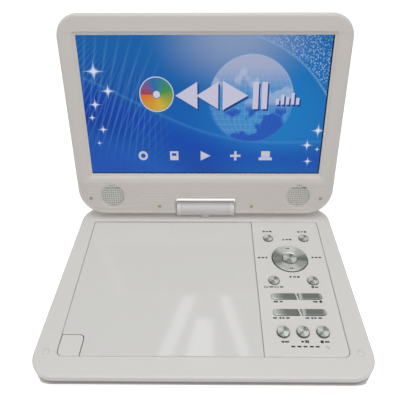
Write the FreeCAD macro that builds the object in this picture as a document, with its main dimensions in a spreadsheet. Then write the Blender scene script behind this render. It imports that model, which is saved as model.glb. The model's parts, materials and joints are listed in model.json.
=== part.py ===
import FreeCAD, Part
import math
import os
import re
import Sketcher

# Portable disc player: a flat base with a disc well and a key panel, and a screen on a swivelling,
# tilting hinge at the back. Millimetres, +Z up, X across, +Y towards the back.
# Base pieces are drawn with y = 0 under the tilt axis and z = 0 on the table. Screen pieces are drawn
# lying flat: x across, y up the screen from the tilt axis, z forward out of the screen.

DIMS = {
    # Overall
    "half_width": 127.8, "base_front": -179.7, "base_back": 11.8, "base_top": 24.0, "parting": 19.6,
    "corner": 20.0, "base_taper": 2.1, "wall": 2.0, "foot_height": 1.5, "foot_radius": 5.0,
    "axis_back": 63.95, "axis_height": 32.0, "lean": 14.7,
    # Base shells
    "floor_top": 3.5, "tuck_level": 15.0, "tuck_depth": 9.7, "side_tuck": 3.3, "side_tuck_level": 6.0,
    "ledge_top": 21.0, "ledge_width": 3.0, "recess_front": -162.7, "recess_back": -11.6,
    "recess_front_half": 108.5, "recess_back_half": 113.5, "panel_top": 23.0, "seam": 0.3,
    "recess_front_corner": 5.0, "recess_back_corner": 4.0, "split_front": 45.1, "split_back": 46.8,
    "bridge": 3.0, "recess_rim": 1.6, "foot_sink": 0.6, "post_radius": 3.2, "post_bore": 1.35,
    "post_head": 2.6, "post_head_depth": 6.0, "seat_half": 20.0, "seat_near": -8.4, "seat_top": 9.4,
    "thread": 1.1, "slope_run": 14.0,
    # Disc drive
    "disc_across": -32.0, "disc_along": -85.7, "well_radius": 61.5, "well_floor": 16.0,
    "tray_plate": 1.8, "hub_radius": 7.45, "hub_flange": 14.0, "disc_level": 18.0, "rotor_radius": 12.5,
    "rod_radius": 1.5, "rod_level": 12.0, "rod_near": -11.0, "rod_far": -53.0, "sled_start": 24.0,
    "gear_across": 0.0, "gear_along": -126.7, "rack_module": 1.0, "rack_teeth": 10, "wheel_module": 0.5,
    "wheel_teeth": 48, "pinion_teeth": 10, "lens_radius": 4.0, "well_wall": 1.6, "slot_half": 9.0,
    "sled_half": 18.0, "sled_depth": 9.0, "sled_low": 9.8, "sled_high": 13.8, "motor_radius": 7.0,
    "motor_low": 10.1, "motor_high": 13.9, "chassis_low": 7.0, "chassis_high": 8.2,
    # Disc lid hinge and latch
    "lid_plate": 1.8, "lid_knuckle": 1.7, "lid_pin": 0.8, "lid_axis_along": -13.6, "lid_axis_level": 21.3,
    "release_inner": -91.4, "release_back": -144.2, "release_corner": 4.0, "catch_left": -97.4,
    "catch_right": -94.4, "catch_back": -142.4, "catch_low": 16.6, "pivot_left": 4.2, "latch_low": 13.6,
    "latch_plate": 15.2, "latch_neck": 17.6, "latch_top": 18.4,
    # Keys
    "key_flange": 0.9, "key_gap": 0.25, "key_base": 20.0, "key_stop": 20.8, "key_stem": 1.6,
    "switch_top": 18.6, "key_board_top": 17.0, "board": 1.6, "pad_radius": 16.3, "enter_radius": 6.65,
    "bar_left": 56.3, "bar_right": 99.0, "bar_middle": 78.0, "bar_gap": 2.0, "bar_half": 3.25,
    "bar_slant": 0.6, "bar_end_radius": 2.4, "bar_top": 23.9, "pin_radius": 0.5, "pin_start": 11.5,
    "pin_end": 13.4, "gimbal_radius": 12.0, "lamp_across": 93.1, "lamp_along": -154.7, "lamp_radius": 1.2,
    "volume_along": -107.1, "skip_along": -123.2, "pad_across": 78.6, "pad_along": -63.3,
    # Screen
    "screen_bottom": -4.2, "screen_top": 181.8, "screen_half": 7.0, "top_corner": 20.0,
    "bottom_corner": 26.0, "front_edge": 3.0, "back_edge": 5.0, "notch_half": 30.4, "notch_top": 12.4,
    "view_half": 111.35, "view_bottom": 39.4, "view_top": 164.7, "bevel_half": 114.4,
    "bevel_bottom": 35.1, "bevel_top": 167.5, "bevel_level": 5.4, "lcd_half": 117.5,
    "lcd_bottom": 30.6, "lcd_top": 173.6, "strip_top": 30.1, "grille_across": 93.1, "grille_up": 16.7,
    "grille_radius": 11.75, "grille_pitch": 2.15, "grille_hole": 1.1,
    # Main hinge
    "neck_foot": 20.2, "barrel_half": 29.7, "barrel_radius": 7.7, "barrel_bore": 6.0, "cap_length": 5.0,
    "neck_radius": 6.3, "column_radius": 3.6, "column_bore": 2.2, "shaft_radius": 1.6, "running": 0.05,
    "ear_at": 20.0, "eye_half": 2.9, "bracket_across": 38.0, "bracket_up": 19.0,
}

# Round keys: name, across, along, radius, top
ROUND_KEYS = (
    ("mode_button", 61.6, -36.2, 4.65, 24.0),
    ("source_button", 96.1, -36.1, 4.65, 24.0),
    ("display_button", 60.9, -89.6, 4.75, 24.0),
    ("search_button", 94.8, -90.0, 4.75, 24.0),
    ("back_button", 61.7, -141.7, 4.9, 24.9),
    ("play_button", 77.0, -141.7, 4.9, 24.9),
    ("stop_button", 92.4, -141.7, 4.9, 24.9),
)
for key, across, along, radius, top in ROUND_KEYS:
    DIMS[key + "_across"] = across
    DIMS[key + "_along"] = along
    DIMS[key + "_radius"] = radius
    DIMS[key + "_top"] = top

V = FreeCAD.Vector
doc = FreeCAD.newDocument("DiscPlayer")
sheet = doc.addObject("Spreadsheet::Sheet", "Dims")
for row, (alias, amount) in enumerate(DIMS.items(), 1):
    sheet.set("A%d" % row, alias)
    sheet.set("B%d" % row, str(amount))
    sheet.setAlias("B%d" % row, alias)
doc.recompute()

PIECES = []


def bind(text):
    """Point every dimension's name in an expression at the sheet."""
    return re.sub(r"[a-z]\w*", lambda word: "Dims." + word.group(0), str(text))


def size(text):
    """The value of an expression, in millimetres."""
    return float(sheet.evalExpression(bind(text)))


def spot(obj, across, along, level):
    """Tie an object's position to the sheet."""
    for axis, text in zip("xyz", (across, along, level)):
        obj.setExpression("Placement.Base." + axis, bind(text))


def finish(obj, label, frame="base", at=(0, 0, 0)):
    """Name a sub-part and put it in the frame of the base or of the screen."""
    obj.Label = label
    if frame == "screen":
        obj.Placement = FreeCAD.Placement(V(), FreeCAD.Rotation(V(1, 0, 0), 90))
        obj.setExpression("Placement.Rotation.Angle", "(90 - Dims.lean) * 1 deg")
        spot(obj, "0", "axis_back", "axis_height")
    else:
        spot(obj, at[0], "axis_back + %s" % at[1], at[2])
    PIECES.append(obj)
    return obj


class Rounded:
    """A rectangle with rounded corners. Its front pair can have their own radius, or stand further in."""

    def __init__(self, left, front, right, back, front_radius, back_radius=None, taper="0"):
        self.sides = left, front, right, back
        self.radii = front_radius, back_radius or front_radius
        self.taper = taper

    def centres(self):
        """Corner arcs, anticlockwise from the front left: across, along, radius."""
        left, front, right, back = self.sides
        near, far = self.radii
        return [("%s + %s + %s" % (left, near, self.taper), "%s + %s" % (front, near), near),
                ("%s - (%s) - %s" % (right, near, self.taper), "%s + %s" % (front, near), near),
                ("%s - (%s)" % (right, far), "%s - (%s)" % (back, far), far),
                ("%s + %s" % (left, far), "%s - (%s)" % (back, far), far)]


class Body:
    """A PartDesign body made of sketched pads, pockets and turned profiles."""

    def __init__(self, label, frame="base", at=(0, 0, 0)):
        self.body = finish(doc.addObject("PartDesign::Body", label), label, frame, at)

    def sketch(self, role, level):
        made = self.body.newObject("Sketcher::SketchObject", self.body.Name + "Sketch")
        plane = next(item for item in self.body.Origin.OriginFeatures if item.Role == role)
        made.AttachmentSupport = [(plane, "")]
        made.MapMode = "FlatFace"
        made.setExpression("AttachmentOffset.Base.z", bind(level))
        return made

    def hold(self, made, kind, where, text):
        """Constrain a coordinate or a radius to an expression."""
        amount = size(text)
        if kind != "Radius" and abs(amount) < 1e-9:
            axis = -2 if kind == "DistanceX" else -1
            made.addConstraint(Sketcher.Constraint("PointOnObject", where[0], where[1], axis))
            return
        index = made.addConstraint(Sketcher.Constraint(kind, *where, amount))
        made.setExpression("Constraints[%d]" % index, bind(text))

    def draw(self, made, loop):
        """A loop is a list of corner points, or (across, along, radius) for a circle."""
        if isinstance(loop, tuple):
            across, along, radius = loop
            circle = Part.Circle(V(size(across), size(along), 0), V(0, 0, 1), size(radius))
            index = made.addGeometry(circle, False)
            self.hold(made, "DistanceX", (index, 3), across)
            self.hold(made, "DistanceY", (index, 3), along)
            self.hold(made, "Radius", (index,), radius)
            return
        if isinstance(loop, Rounded):
            self.draw_rounded(made, loop)
            return
        ends = [V(size(x), size(y), 0) for x, y in loop]
        first = made.GeometryCount
        for index, end in enumerate(ends):
            made.addGeometry(Part.LineSegment(end, ends[(index + 1) % len(ends)]), False)
        for index in range(len(ends)):
            after = first + (index + 1) % len(ends)
            made.addConstraint(Sketcher.Constraint("Coincident", first + index, 2, after, 1))
        for index, (x, y) in enumerate(loop):
            self.hold(made, "DistanceX", (first + index, 1), x)
            self.hold(made, "DistanceY", (first + index, 1), y)

    def draw_rounded(self, made, loop):
        """Four arcs, each followed by the straight side that leaves it."""
        first = made.GeometryCount
        centres = loop.centres()
        for index, (across, along, radius) in enumerate(centres):
            quarter = math.pi / 2
            centre = V(size(across), size(along), 0)
            start = math.pi + index * quarter
            circle = Part.Circle(centre, V(0, 0, 1), size(radius))
            made.addGeometry(Part.ArcOfCircle(circle, start, start + quarter), False)
            beyond = centres[(index + 1) % 4]
            out = V(math.cos(start + quarter), math.sin(start + quarter), 0)
            near = centre + out * size(radius)
            far = V(size(beyond[0]), size(beyond[1]), 0) + out * size(beyond[2])
            made.addGeometry(Part.LineSegment(near, far), False)
        for index, (across, along, radius) in enumerate(centres):
            arc = first + 2 * index
            after = first + (2 * index + 2) % 8
            made.addConstraint(Sketcher.Constraint("Tangent", arc, 2, arc + 1, 1))
            made.addConstraint(Sketcher.Constraint("Tangent", arc + 1, 2, after, 1))
            self.hold(made, "DistanceX", (arc, 3), across)
            self.hold(made, "DistanceY", (arc, 3), along)
            self.hold(made, "Radius", (arc,), radius)

    def extrude(self, kind, loops, low, high, role):
        made = self.sketch(role, low)
        for loop in loops:
            self.draw(made, loop)
        step = self.body.newObject("PartDesign::" + kind, self.body.Name + kind)
        step.Profile = made
        step.setExpression("Length", bind("(%s) - (%s)" % (high, low)))
        step.Reversed = kind == "Pocket"
        made.Visibility = False
        doc.recompute()
        if "Invalid" in step.State:
            raise RuntimeError("%s of %s failed: %s" % (kind, self.body.Label, step.getStatusString()))
        return self

    def add(self, loops, low, high, role="XY_Plane"):
        return self.extrude("Pad", loops, low, high, role)

    def cut(self, loops, low, high, role="XY_Plane"):
        before = self.body.Shape.Volume
        self.extrude("Pocket", loops, low, high, role)
        if self.body.Shape.Volume > before - 1e-6:
            raise RuntimeError("a pocket in %s cuts nothing" % self.body.Label)
        return self

    def turn(self, points):
        """Turn a profile of (radius, level) points about the vertical axis."""
        made = self.sketch("XZ_Plane", "0")
        self.draw(made, points)
        step = self.body.newObject("PartDesign::Revolution", self.body.Name + "Turn")
        step.Profile = made
        step.ReferenceAxis = (made, ["V_Axis"])
        step.Angle = 360
        doc.recompute()
        return self

    def sink(self, wide, deep):
        """Cut a recess that narrows from a wide outline to a smaller one below it."""
        step = self.body.newObject("PartDesign::SubtractiveLoft", self.body.Name + "Bevel")
        ends = []
        for loop, level in (wide, deep):
            ends.append(self.sketch("XY_Plane", level))
            self.draw(ends[-1], loop)
        step.Profile = ends[0]
        step.Sections = [ends[1]]
        step.Ruled = True
        doc.recompute()
        return self

    def soften(self, radius, choose, kind="Fillet"):
        """Fillet or chamfer the edges that a test picks."""
        tip = self.body.Tip
        names = ["Edge%d" % number for number, edge in enumerate(tip.Shape.Edges, 1) if choose(edge)]
        if not names:
            raise RuntimeError("no edge to soften in %s" % self.body.Label)
        step = self.body.newObject("PartDesign::" + kind, self.body.Name + kind)
        step.Base = (tip, names)
        step.setExpression("Radius" if kind == "Fillet" else "Size", bind(radius))
        doc.recompute()
        if "Invalid" in step.State:
            raise RuntimeError("%s of %s failed on %s" % (kind, self.body.Label, names))
        return self


def upright(edge, spots=None, near=1.0):
    """A straight edge along Z, at one of the named spots if any are given."""
    bounds = edge.BoundBox
    if bounds.ZLength < 0.5 or bounds.XLength > 1e-6 or bounds.YLength > 1e-6:
        return False
    if spots is None:
        return True
    return any(math.hypot(size(x) - bounds.XMin, size(y) - bounds.YMin) < near for x, y in spots)


def level_edge(edge, level):
    """An edge that lies at one level."""
    return edge.BoundBox.ZLength < 1e-6 and abs(edge.BoundBox.ZMin - size(level)) < 1e-6


def box(left, front, low, right, back, high):
    """A Part box between two corners."""
    made = doc.addObject("Part::Box", "Block")
    for side, start, end in (("Length", left, right), ("Width", front, back), ("Height", low, high)):
        made.setExpression(side, bind("(%s) - (%s)" % (end, start)))
    spot(made, left, front, low)
    return made


TURNED = {
    "z": FreeCAD.Rotation(),
    "x": FreeCAD.Rotation(V(0, 1, 0), 90),
    "y": FreeCAD.Rotation(V(1, 0, 0), -90),
}


def rod(across, along, level, radius, length, axis="z"):
    """A Part cylinder that starts at a point and runs along +X, +Y or +Z."""
    made = doc.addObject("Part::Cylinder", "Rod")
    made.Placement.Rotation = TURNED[axis]
    spot(made, across, along, level)
    made.setExpression("Radius", bind(radius))
    made.setExpression("Height", bind(length))
    return made


def join(parts):
    """One solid from several."""
    made = doc.addObject("Part::MultiFuse", "Join")
    made.Shapes = parts
    made.Refine = True
    return made


def carve(solid, tools):
    """A solid with others taken away."""
    made = doc.addObject("Part::Cut", "Carve")
    made.Base = solid
    made.Tool = tools[0] if len(tools) == 1 else join(tools)
    made.Refine = True
    return made


def group(parts):
    """Separate solids in one node."""
    made = doc.addObject("Part::Compound", "Group")
    made.Links = parts
    return made


def rect(left, front, right, back):
    return [(left, front), (right, front), (right, back), (left, back)]


# ---- Base shells ---------------------------------------------------------------------------------

OUTLINE = Rounded("-half_width", "base_front", "half_width", "base_back", "corner", None, "base_taper")
INSIDE = Rounded("-half_width + wall", "base_front + wall", "half_width - wall", "base_back - wall",
                 "corner - wall", None, "base_taper")
BATTERY = ("52", "-166", "104", "-108")
SCREW_POSTS = ((-118, -150), (118, -165), (-118, -20), (118, -4), (-60, -4), (47, -165))
BRACKET_SCREWS = ((-15, 0), (15, 0))
FEET = ((-108, -157), (108, -157), (-108, 0), (108, 0))
PORTS = (  # name, along, half width, low, high
    ("dc_jack", -24, 3.4, 7.4, 14.2),
    ("av_jack", -38, 3.3, 7.4, 14.0),
    ("headphone_jack", -51, 3.3, 7.4, 14.0),
    ("usb_port", -68, 7.1, 7.0, 14.0),
    ("card_slot", -91.5, 12.9, 7.0, 11.6),
    ("power_knob", -126, 6.0, 7.6, 11.6),
)


def bottom_case():
    """Tub with a tucked-in front, screw posts, a hinge seat and the port openings."""
    tub = Body("bottom_case")
    tub.add([OUTLINE], "foot_height", "parting")
    front_tuck = [("base_front - 1", "tuck_level"), ("base_front", "tuck_level"),
                  ("base_front + tuck_depth", "foot_height - 0.01"),
                  ("base_front - 1", "foot_height - 0.01")]
    tub.cut([front_tuck], "-half_width - 1", "half_width + 1", "YZ_Plane")
    for side in ("-", ""):
        edge = [("%shalf_width" % side, "side_tuck_level"),
                ("%s(half_width - side_tuck)" % side, "foot_height - 0.01"),
                ("%s(half_width + 1)" % side, "foot_height - 0.01"),
                ("%s(half_width + 1)" % side, "side_tuck_level")]
        tub.cut([edge], "-base_back - 1", "-base_front + 1", "XZ_Plane")
    tub.cut([INSIDE], "tuck_level", "parting")
    lower = Rounded("-half_width + side_tuck + wall", "base_front + tuck_depth + slope_run",
                    "half_width - side_tuck - wall", "base_back - wall", "corner - wall")
    tub.cut([lower], "floor_top", "tuck_level")
    slope = [("base_front + tuck_depth + slope_run + 0.1", "tuck_level + 0.01"),
             ("base_front + wall", "tuck_level + 0.01"),
             ("base_front + wall + 0.2", "tuck_level - 0.6"),
             ("base_front + tuck_depth + wall", "floor_top"),
             ("base_front + tuck_depth + slope_run + 0.1", "floor_top")]
    tub.cut([slope], "-half_width + corner + 2", "half_width - corner - 2", "YZ_Plane")
    post_top = "parting - running"
    tub.add([(x, y, "post_radius") for x, y in SCREW_POSTS], "floor_top", post_top)
    tub.cut([(x, y, "post_bore") for x, y in SCREW_POSTS], "foot_height", post_top)
    tub.cut([(x, y, "post_head") for x, y in SCREW_POSTS], "foot_height", "foot_height + post_head_depth")
    tub.add([rect("-seat_half", "seat_near", "seat_half", "base_back - wall")], "floor_top", "seat_top")
    tub.cut([(0, 0, "column_radius + 2.2")], "floor_top", "seat_top")
    tub.cut([(x, y, "thread") for x, y in BRACKET_SCREWS], "floor_top", "seat_top")
    for name, along, half, low, high in PORTS:
        opening = rect(along - half, low, along + half, high)
        tub.cut([opening], "half_width - side_tuck - wall - 1", "half_width + 1", "YZ_Plane")
    tub.cut([(x, y, "foot_radius + 0.2") for x, y in FEET], "foot_height", "foot_height + foot_sink")


def top_case():
    """Frame with a sunk, four-sided recess, a ledge for the covers and a bridge between them."""
    frame = Body("top_case")
    frame.add([OUTLINE], "parting", "base_top")
    frame.soften("wall - 0.2", lambda e: level_edge(e, "base_top"))
    frame.cut([INSIDE], "parting", "base_top - wall")
    rim = [("-recess_front_half - recess_rim", "recess_front - recess_rim"),
           ("recess_front_half + recess_rim", "recess_front - recess_rim"),
           ("recess_back_half + recess_rim", "recess_back + recess_rim"),
           ("-recess_back_half - recess_rim", "recess_back + recess_rim")]
    frame.add([rim], "parting", "base_top - wall")
    recess = [("-recess_front_half", "recess_front"), ("recess_front_half", "recess_front"),
              ("recess_back_half", "recess_back"), ("-recess_back_half", "recess_back")]
    frame.cut([recess], "ledge_top", "base_top")
    above = size("panel_top")
    frame.soften("recess_front_corner", lambda e: e.BoundBox.ZMax > above and upright(e, recess[:2]))
    frame.soften("recess_back_corner", lambda e: e.BoundBox.ZMax > above and upright(e, recess[2:3]))
    disc_side = [("-recess_front_half + ledge_width", "recess_front + ledge_width"),
                 ("split_front - bridge", "recess_front + ledge_width"),
                 ("split_back - bridge", "lid_axis_along - 3"), ("split_back - bridge", "recess_back"),
                 ("-recess_back_half", "recess_back"), ("-recess_back_half", "lid_axis_along - 3"),
                 ("-recess_back_half + ledge_width", "lid_axis_along - 3")]
    key_side = [("split_front + bridge", "recess_front + ledge_width"),
                ("recess_front_half - ledge_width", "recess_front + ledge_width"),
                ("recess_back_half - ledge_width", "recess_back - ledge_width"),
                ("split_back + bridge", "recess_back - ledge_width")]
    frame.cut([disc_side, key_side], "parting", "ledge_top")
    frame.cut([rect("split_back - bridge", "lid_axis_along - 3", "split_back + 6", "recess_back")],
              "parting", "ledge_top")
    frame.cut([(0, 0, "neck_radius + 0.3")], "parting", "base_top")
    pivot = rect("-recess_back_half - pivot_left", "lid_axis_along - 2.4", "-recess_back_half - 0.6",
                 "lid_axis_along + 1.8")
    frame.add([pivot], "parting", "base_top - wall")
    hole = [("lid_axis_along", "lid_axis_level", "lid_pin")]
    frame.cut(hole, "-recess_back_half - pivot_left + 0.8", "-recess_back_half + 0.6", "YZ_Plane")


def control_panel():
    """Flat panel with an opening for each key and a boss for the disc lid's right-hand pin."""
    panel = Body("control_panel")
    plate = [("split_front + seam", "recess_front + seam"),
             ("recess_front_half - seam", "recess_front + seam"),
             ("recess_back_half - seam", "recess_back - seam"),
             ("split_back + seam", "recess_back - seam")]
    ends = "_across", "_along", "_radius + key_gap"
    openings = [tuple(key + end for end in ends) for key, *place in ROUND_KEYS]
    openings.append(("pad_across", "pad_along", "pad_radius + 0.4"))
    openings.append(("lamp_across", "lamp_along", "lamp_radius + running"))
    for along in ("volume_along", "skip_along"):
        for outer, side in (("bar_left - key_gap", -1), ("bar_right + key_gap", 1)):
            front, back = bar_end(along, side, "key_gap")
            openings.append([(outer, front[1]), front, back, (outer, back[1])])
    panel.add([plate] + openings, "ledge_top", "panel_top")
    panel.add([rect("split_back + seam", "lid_axis_along - 2.2", "split_back + 5", "lid_axis_along + 1.7")],
              "parting + 0.1", "ledge_top")
    pin = [("lid_axis_along", "lid_axis_level", "lid_pin")]
    panel.cut(pin, "split_back - 0.5", "split_back + 4", "YZ_Plane")
    outer_ends = [(outer, "%s %s (bar_half + key_gap)" % (along, way))
                  for along in ("volume_along", "skip_along")
                  for outer in ("bar_left - key_gap", "bar_right + key_gap") for way in "+-"]
    panel.soften("bar_end_radius", lambda e: upright(e, outer_ends))
    panel.soften("recess_front_corner - seam", lambda e: upright(e, plate[1:2]))
    panel.soften("recess_back_corner - seam", lambda e: upright(e, plate[2:3]))


def disc_tray():
    """Round well under the disc lid, open at the hub and along the pickup's path."""
    tray = Body("disc_tray")
    plate = [("-recess_front_half + 1", "recess_front + 1"), ("split_front - 0.6", "recess_front + 1"),
             ("split_back - 0.6", "lid_axis_along - 2.2"),
             ("-recess_back_half + 1", "lid_axis_along - 2.2")]
    well = "disc_across", "disc_along", "well_radius"
    outside = "disc_across", "disc_along", "well_radius + well_wall"
    hub = "disc_across", "disc_along", "hub_flange + 1.0"
    tray.add([plate, well], "parting - tray_plate", "parting")
    tray.add([outside, well], "well_floor - tray_plate", "parting - 0.3")
    tray.add([outside, hub], "well_floor - tray_plate", "well_floor")
    slot = rect("disc_across - slot_half", "disc_along - well_radius - 1.2", "disc_across + slot_half",
                "disc_along - hub_flange")
    tray.cut([slot], "well_floor - tray_plate", "well_floor + 1")
    tray.cut([rect("-105.2", "-159.4", "-92.8", "-141.8")], "parting - tray_plate", "parting")
    rails = [rect("-106.6", "-155.8", "-105", "-146"), rect("-93.2", "-157", "-91.6", "-146")]
    tray.add(rails, "latch_low - 0.2", "parting - tray_plate")


def disc_lid():
    """Cover of the disc well: knuckles at its back corners and a catch at its front-left corner."""
    lid = Body("disc_lid")
    left = "-recess_back_half + seam"
    plate = [("release_inner + seam", "recess_front + seam"), ("split_front - seam", "recess_front + seam"),
             ("split_back - seam", "lid_axis_along"), (left, "lid_axis_along"),
             ("-recess_front_half + seam - 0.6", "release_back + seam"),
             ("release_inner + seam", "release_back + seam")]
    lid.add([plate], "panel_top - lid_plate", "panel_top")
    back = [("lid_axis_along", "lid_axis_level", "lid_knuckle")]
    lid.add(back, left, "split_back - seam", "YZ_Plane")
    between = rect("lid_axis_along - 2", "18", "lid_axis_along + 3", "panel_top - lid_plate - 0.001")
    lid.cut([between], "-recess_back_half + 14", "split_back - 14", "YZ_Plane")
    pin = [("lid_axis_along", "lid_axis_level", "lid_pin + running")]
    lid.cut(pin, "-recess_back_half - 1", "-recess_back_half + 5", "YZ_Plane")
    lid.cut(pin, "split_back - 5", "split_back + 1", "YZ_Plane")
    lid.soften("release_corner + 2 * seam", lambda e: upright(e, plate[5:6]))
    arm = rect("catch_left", "catch_back - 1.2", "catch_right", "catch_back")
    foot = rect("catch_left", "catch_back - 2.2", "catch_right", "catch_back")
    lid.add([arm], "catch_low", "panel_top - lid_plate")
    lid.add([foot], "catch_low", "catch_low + 0.8")


def release_button():
    """Corner key that frees the disc lid: a cap on a stem, with a skirt under the ledge."""
    cap = Body("open_button")
    top = [("-recess_front_half + seam", "recess_front + seam"),
           ("release_inner - seam", "recess_front + seam"),
           ("release_inner - seam", "release_back - seam"),
           ("-recess_front_half + seam - 0.3", "release_back - seam")]
    cap.add([top], "panel_top - lid_plate + 1", "panel_top")
    cap.soften("recess_front_corner - seam", lambda e: upright(e, top[:1]))
    cap.soften("release_corner", lambda e: upright(e, top[2:3]))
    cap.add([rect("-104.6", "-158.6", "-99.6", "-148")], "17.0", "panel_top - lid_plate + 1")


# ---- Keys ----------------------------------------------------------------------------------------


def round_key(name):
    """Turned key: stem, flange that stops under the panel, and a cap with an eased rim."""
    key = Body(name, at=(name + "_across", name + "_along", 0))
    outer = name + "_radius"
    top = name + "_top"
    flange = outer + " + key_flange"
    key.turn([(0, "key_base - 0.5"), ("key_stem", "key_base - 0.5"), ("key_stem", "key_base"),
              (flange, "key_base"), (flange, "key_stop"), (outer, "key_stop"), (outer, top + " - 0.4"),
              (outer + " - 0.4", top), (0, top)])


def direction_pad():
    """Rocking ring on a gimbal plate, with a separate centre key."""
    gimbal = Body("pad_pivot", at=("pad_across", "pad_along", 0))
    inside = 0, 0, "enter_radius + key_flange + 0.9"
    gimbal.add([(0, 0, "gimbal_radius"), inside], "key_base - 0.3", "key_base + 0.3")
    pin = "0", "key_base", "pin_radius"
    for plane in ("YZ_Plane", "XZ_Plane"):
        gimbal.add([pin], "pin_start", "pin_end", plane)
        gimbal.add([pin], "-pin_end", "-pin_start", plane)
    ring = Body("direction_pad", at=("pad_across", "pad_along", 0))
    ring.turn([("enter_radius + key_gap", "21.6"), ("14.0", "21.6"), ("14.0", "20.3"),
               ("pad_radius", "20.3"), ("pad_radius", "23.5"), ("pad_radius - 0.7", "24.0"),
               ("enter_radius + 3", "23.4"), ("enter_radius + key_gap", "23.3")])
    centre = Body("enter_button", at=("pad_across", "pad_along", 0))
    flange = "enter_radius + key_flange"
    centre.turn([(0, "19.5"), ("key_stem", "19.5"), ("key_stem", "key_base"), (flange, "key_base"),
                 (flange, "20.6"), ("enter_radius", "20.6"), ("enter_radius", "23.3"),
                 ("enter_radius - 0.4", "23.7"), (0, "24.0")])


def bar_end(along, side, grow):
    """The slanted inner end of a bar key, moved outwards by a gap: its front and back points."""
    inner = "bar_middle %s bar_gap / 2 %s %s" % (("-", "+", grow) if side < 0 else ("+", "-", grow))
    return ("%s + bar_slant" % inner, "%s - bar_half - %s" % (along, grow)), \
           ("%s - bar_slant" % inner, "%s + bar_half + %s" % (along, grow))


def bar_key(name, along, side):
    """Half of a two-way bar: a rounded outer end and a slanted inner end."""
    key = Body(name)
    left, right = ("bar_left", "bar_middle + 4") if side < 0 else ("bar_middle - 4", "bar_right")
    low = "%s - bar_half" % along
    high = "%s + bar_half" % along
    key.add([Rounded(left, low, right, high, "bar_end_radius + 0.2")], "key_stop", "bar_top")
    flange = rect(left + " - 0.6", low + " - 0.8", right + " + 0.6", high + " + 0.8")
    key.add([flange], "key_base", "key_stop")
    front, back = bar_end(along, side, "0")
    past = "bar_middle %s 12" % ("+" if side < 0 else "-")
    nearer = low + " - 2"
    farther = high + " + 2"
    beyond = [(front[0], nearer), (past, nearer), (past, farther), (back[0], farther)]
    key.cut([beyond], "key_base", "bar_top")
    outer = "bar_left" if side < 0 else "bar_right"
    key.add([("(%s + bar_middle) / 2" % outer, along, "key_stem")], "key_base - 0.5", "key_base")


# ---- Boards, battery and ports -------------------------------------------------------------------

SWITCHES = [(size(key + "_across"), size(key + "_along")) for key, *place in ROUND_KEYS]
SWITCHES += [(size("(%s + bar_middle) / 2" % end), size(along)) for along in ("volume_along", "skip_along")
             for end in ("bar_left", "bar_right")]
SWITCHES += [(size("pad_across"), size("pad_along"))]


def key_board():
    """Circuit board under the keys, with one tact switch for each."""
    plate = box("50", "-152", "key_board_top - board", "106", "-26", "key_board_top")
    switches = []
    half = 2.6
    body_top = "key_board_top + 0.9"
    for across, along in SWITCHES:
        switches.append(box(across - half, along - half, "key_board_top - 0.1",
                            across + half, along + half, body_top))
        switches.append(rod(across, along, "key_board_top + 0.8", "1.2",
                            "switch_top - key_board_top - 0.8"))
    finish(join([plate] + switches), "key_board")


def main_board():
    """Main circuit board on four standoffs, with its larger chips and can capacitors."""
    parts = [box("54", "-105", "5.5", "121", "-12", "7.1")]
    parts += [rod(x, y, "floor_top", "2.5", "2.1") for x in (58, 117) for y in (-101, -16)]
    parts += [box("66", "-70", "7.0", "82", "-54", "8.6"), box("66", "-92", "7.0", "78", "-80", "8.3"),
              box("84", "-40", "7.0", "94", "-30", "8.3")]
    parts += [rod(x, "-20", "7.0", "3.2", "6") for x in (64, 73, 82)]
    finish(join(parts), "main_board")


def battery():
    """Two flat cells in one wrapped block."""
    pack = Body("battery_pack")
    pack.add([rect(*BATTERY)], "floor_top", "13.5")
    pack.soften("2", upright)


def ports():
    """Sockets at the right-hand side, each at its opening in the bottom case."""
    mouth = "half_width - 0.6"
    jacks = []
    for along in (-38, -51):
        shell = join([box("109", along - 3.2, "7.1", "122.4", along + 3.2, "13.9"),
                      rod("122.3", along, "10.7", "2.9", mouth + " - 122.3", "x")])
        jacks.append(carve(shell, [rod("half_width - 14.6", along, "10.7", "1.8", "15", "x")]))
    finish(group(jacks), "audio_jacks")
    shell = join([box("108", "-27.3", "7.1", "122.4", "-20.7", "14.1"),
                  rod("122.3", "-24", "10.8", "3.1", mouth + " - 122.3", "x")])
    hollow = carve(shell, [rod("113", "-24", "10.8", "2.75", "16", "x")])
    finish(join([hollow, rod("112.5", "-24", "10.8", "0.65", "11", "x")]), "dc_jack")
    flush = mouth + " - 0.6"
    shell = carve(box("108", "-75", "7.1", flush, "-61", "13.9"),
                  [box("109", "-74.6", "7.5", "128", "-61.4", "13.5")])
    finish(join([shell, box("108.5", "-73.6", "10.6", "125.6", "-62.4", "12.6")]), "usb_port")
    shell = carve(box("97", "-104.2", "7.1", flush, "-78.8", "11.4"),
                  [box("98.5", "-103.7", "7.6", "128", "-79.3", "10.9")])
    finish(shell, "card_slot")
    knob = join([box("120.6", "-129.9", "8.0", "122.3", "-122.1", "11.2"),
                 box("122.2", "-128", "8.0", flush, "-124", "11.2")])
    finish(knob, "power_knob")


# ---- Disc drive ----------------------------------------------------------------------------------


def turned(label, points):
    Body(label, at=("disc_across", "disc_along", 0)).turn(points)


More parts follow.
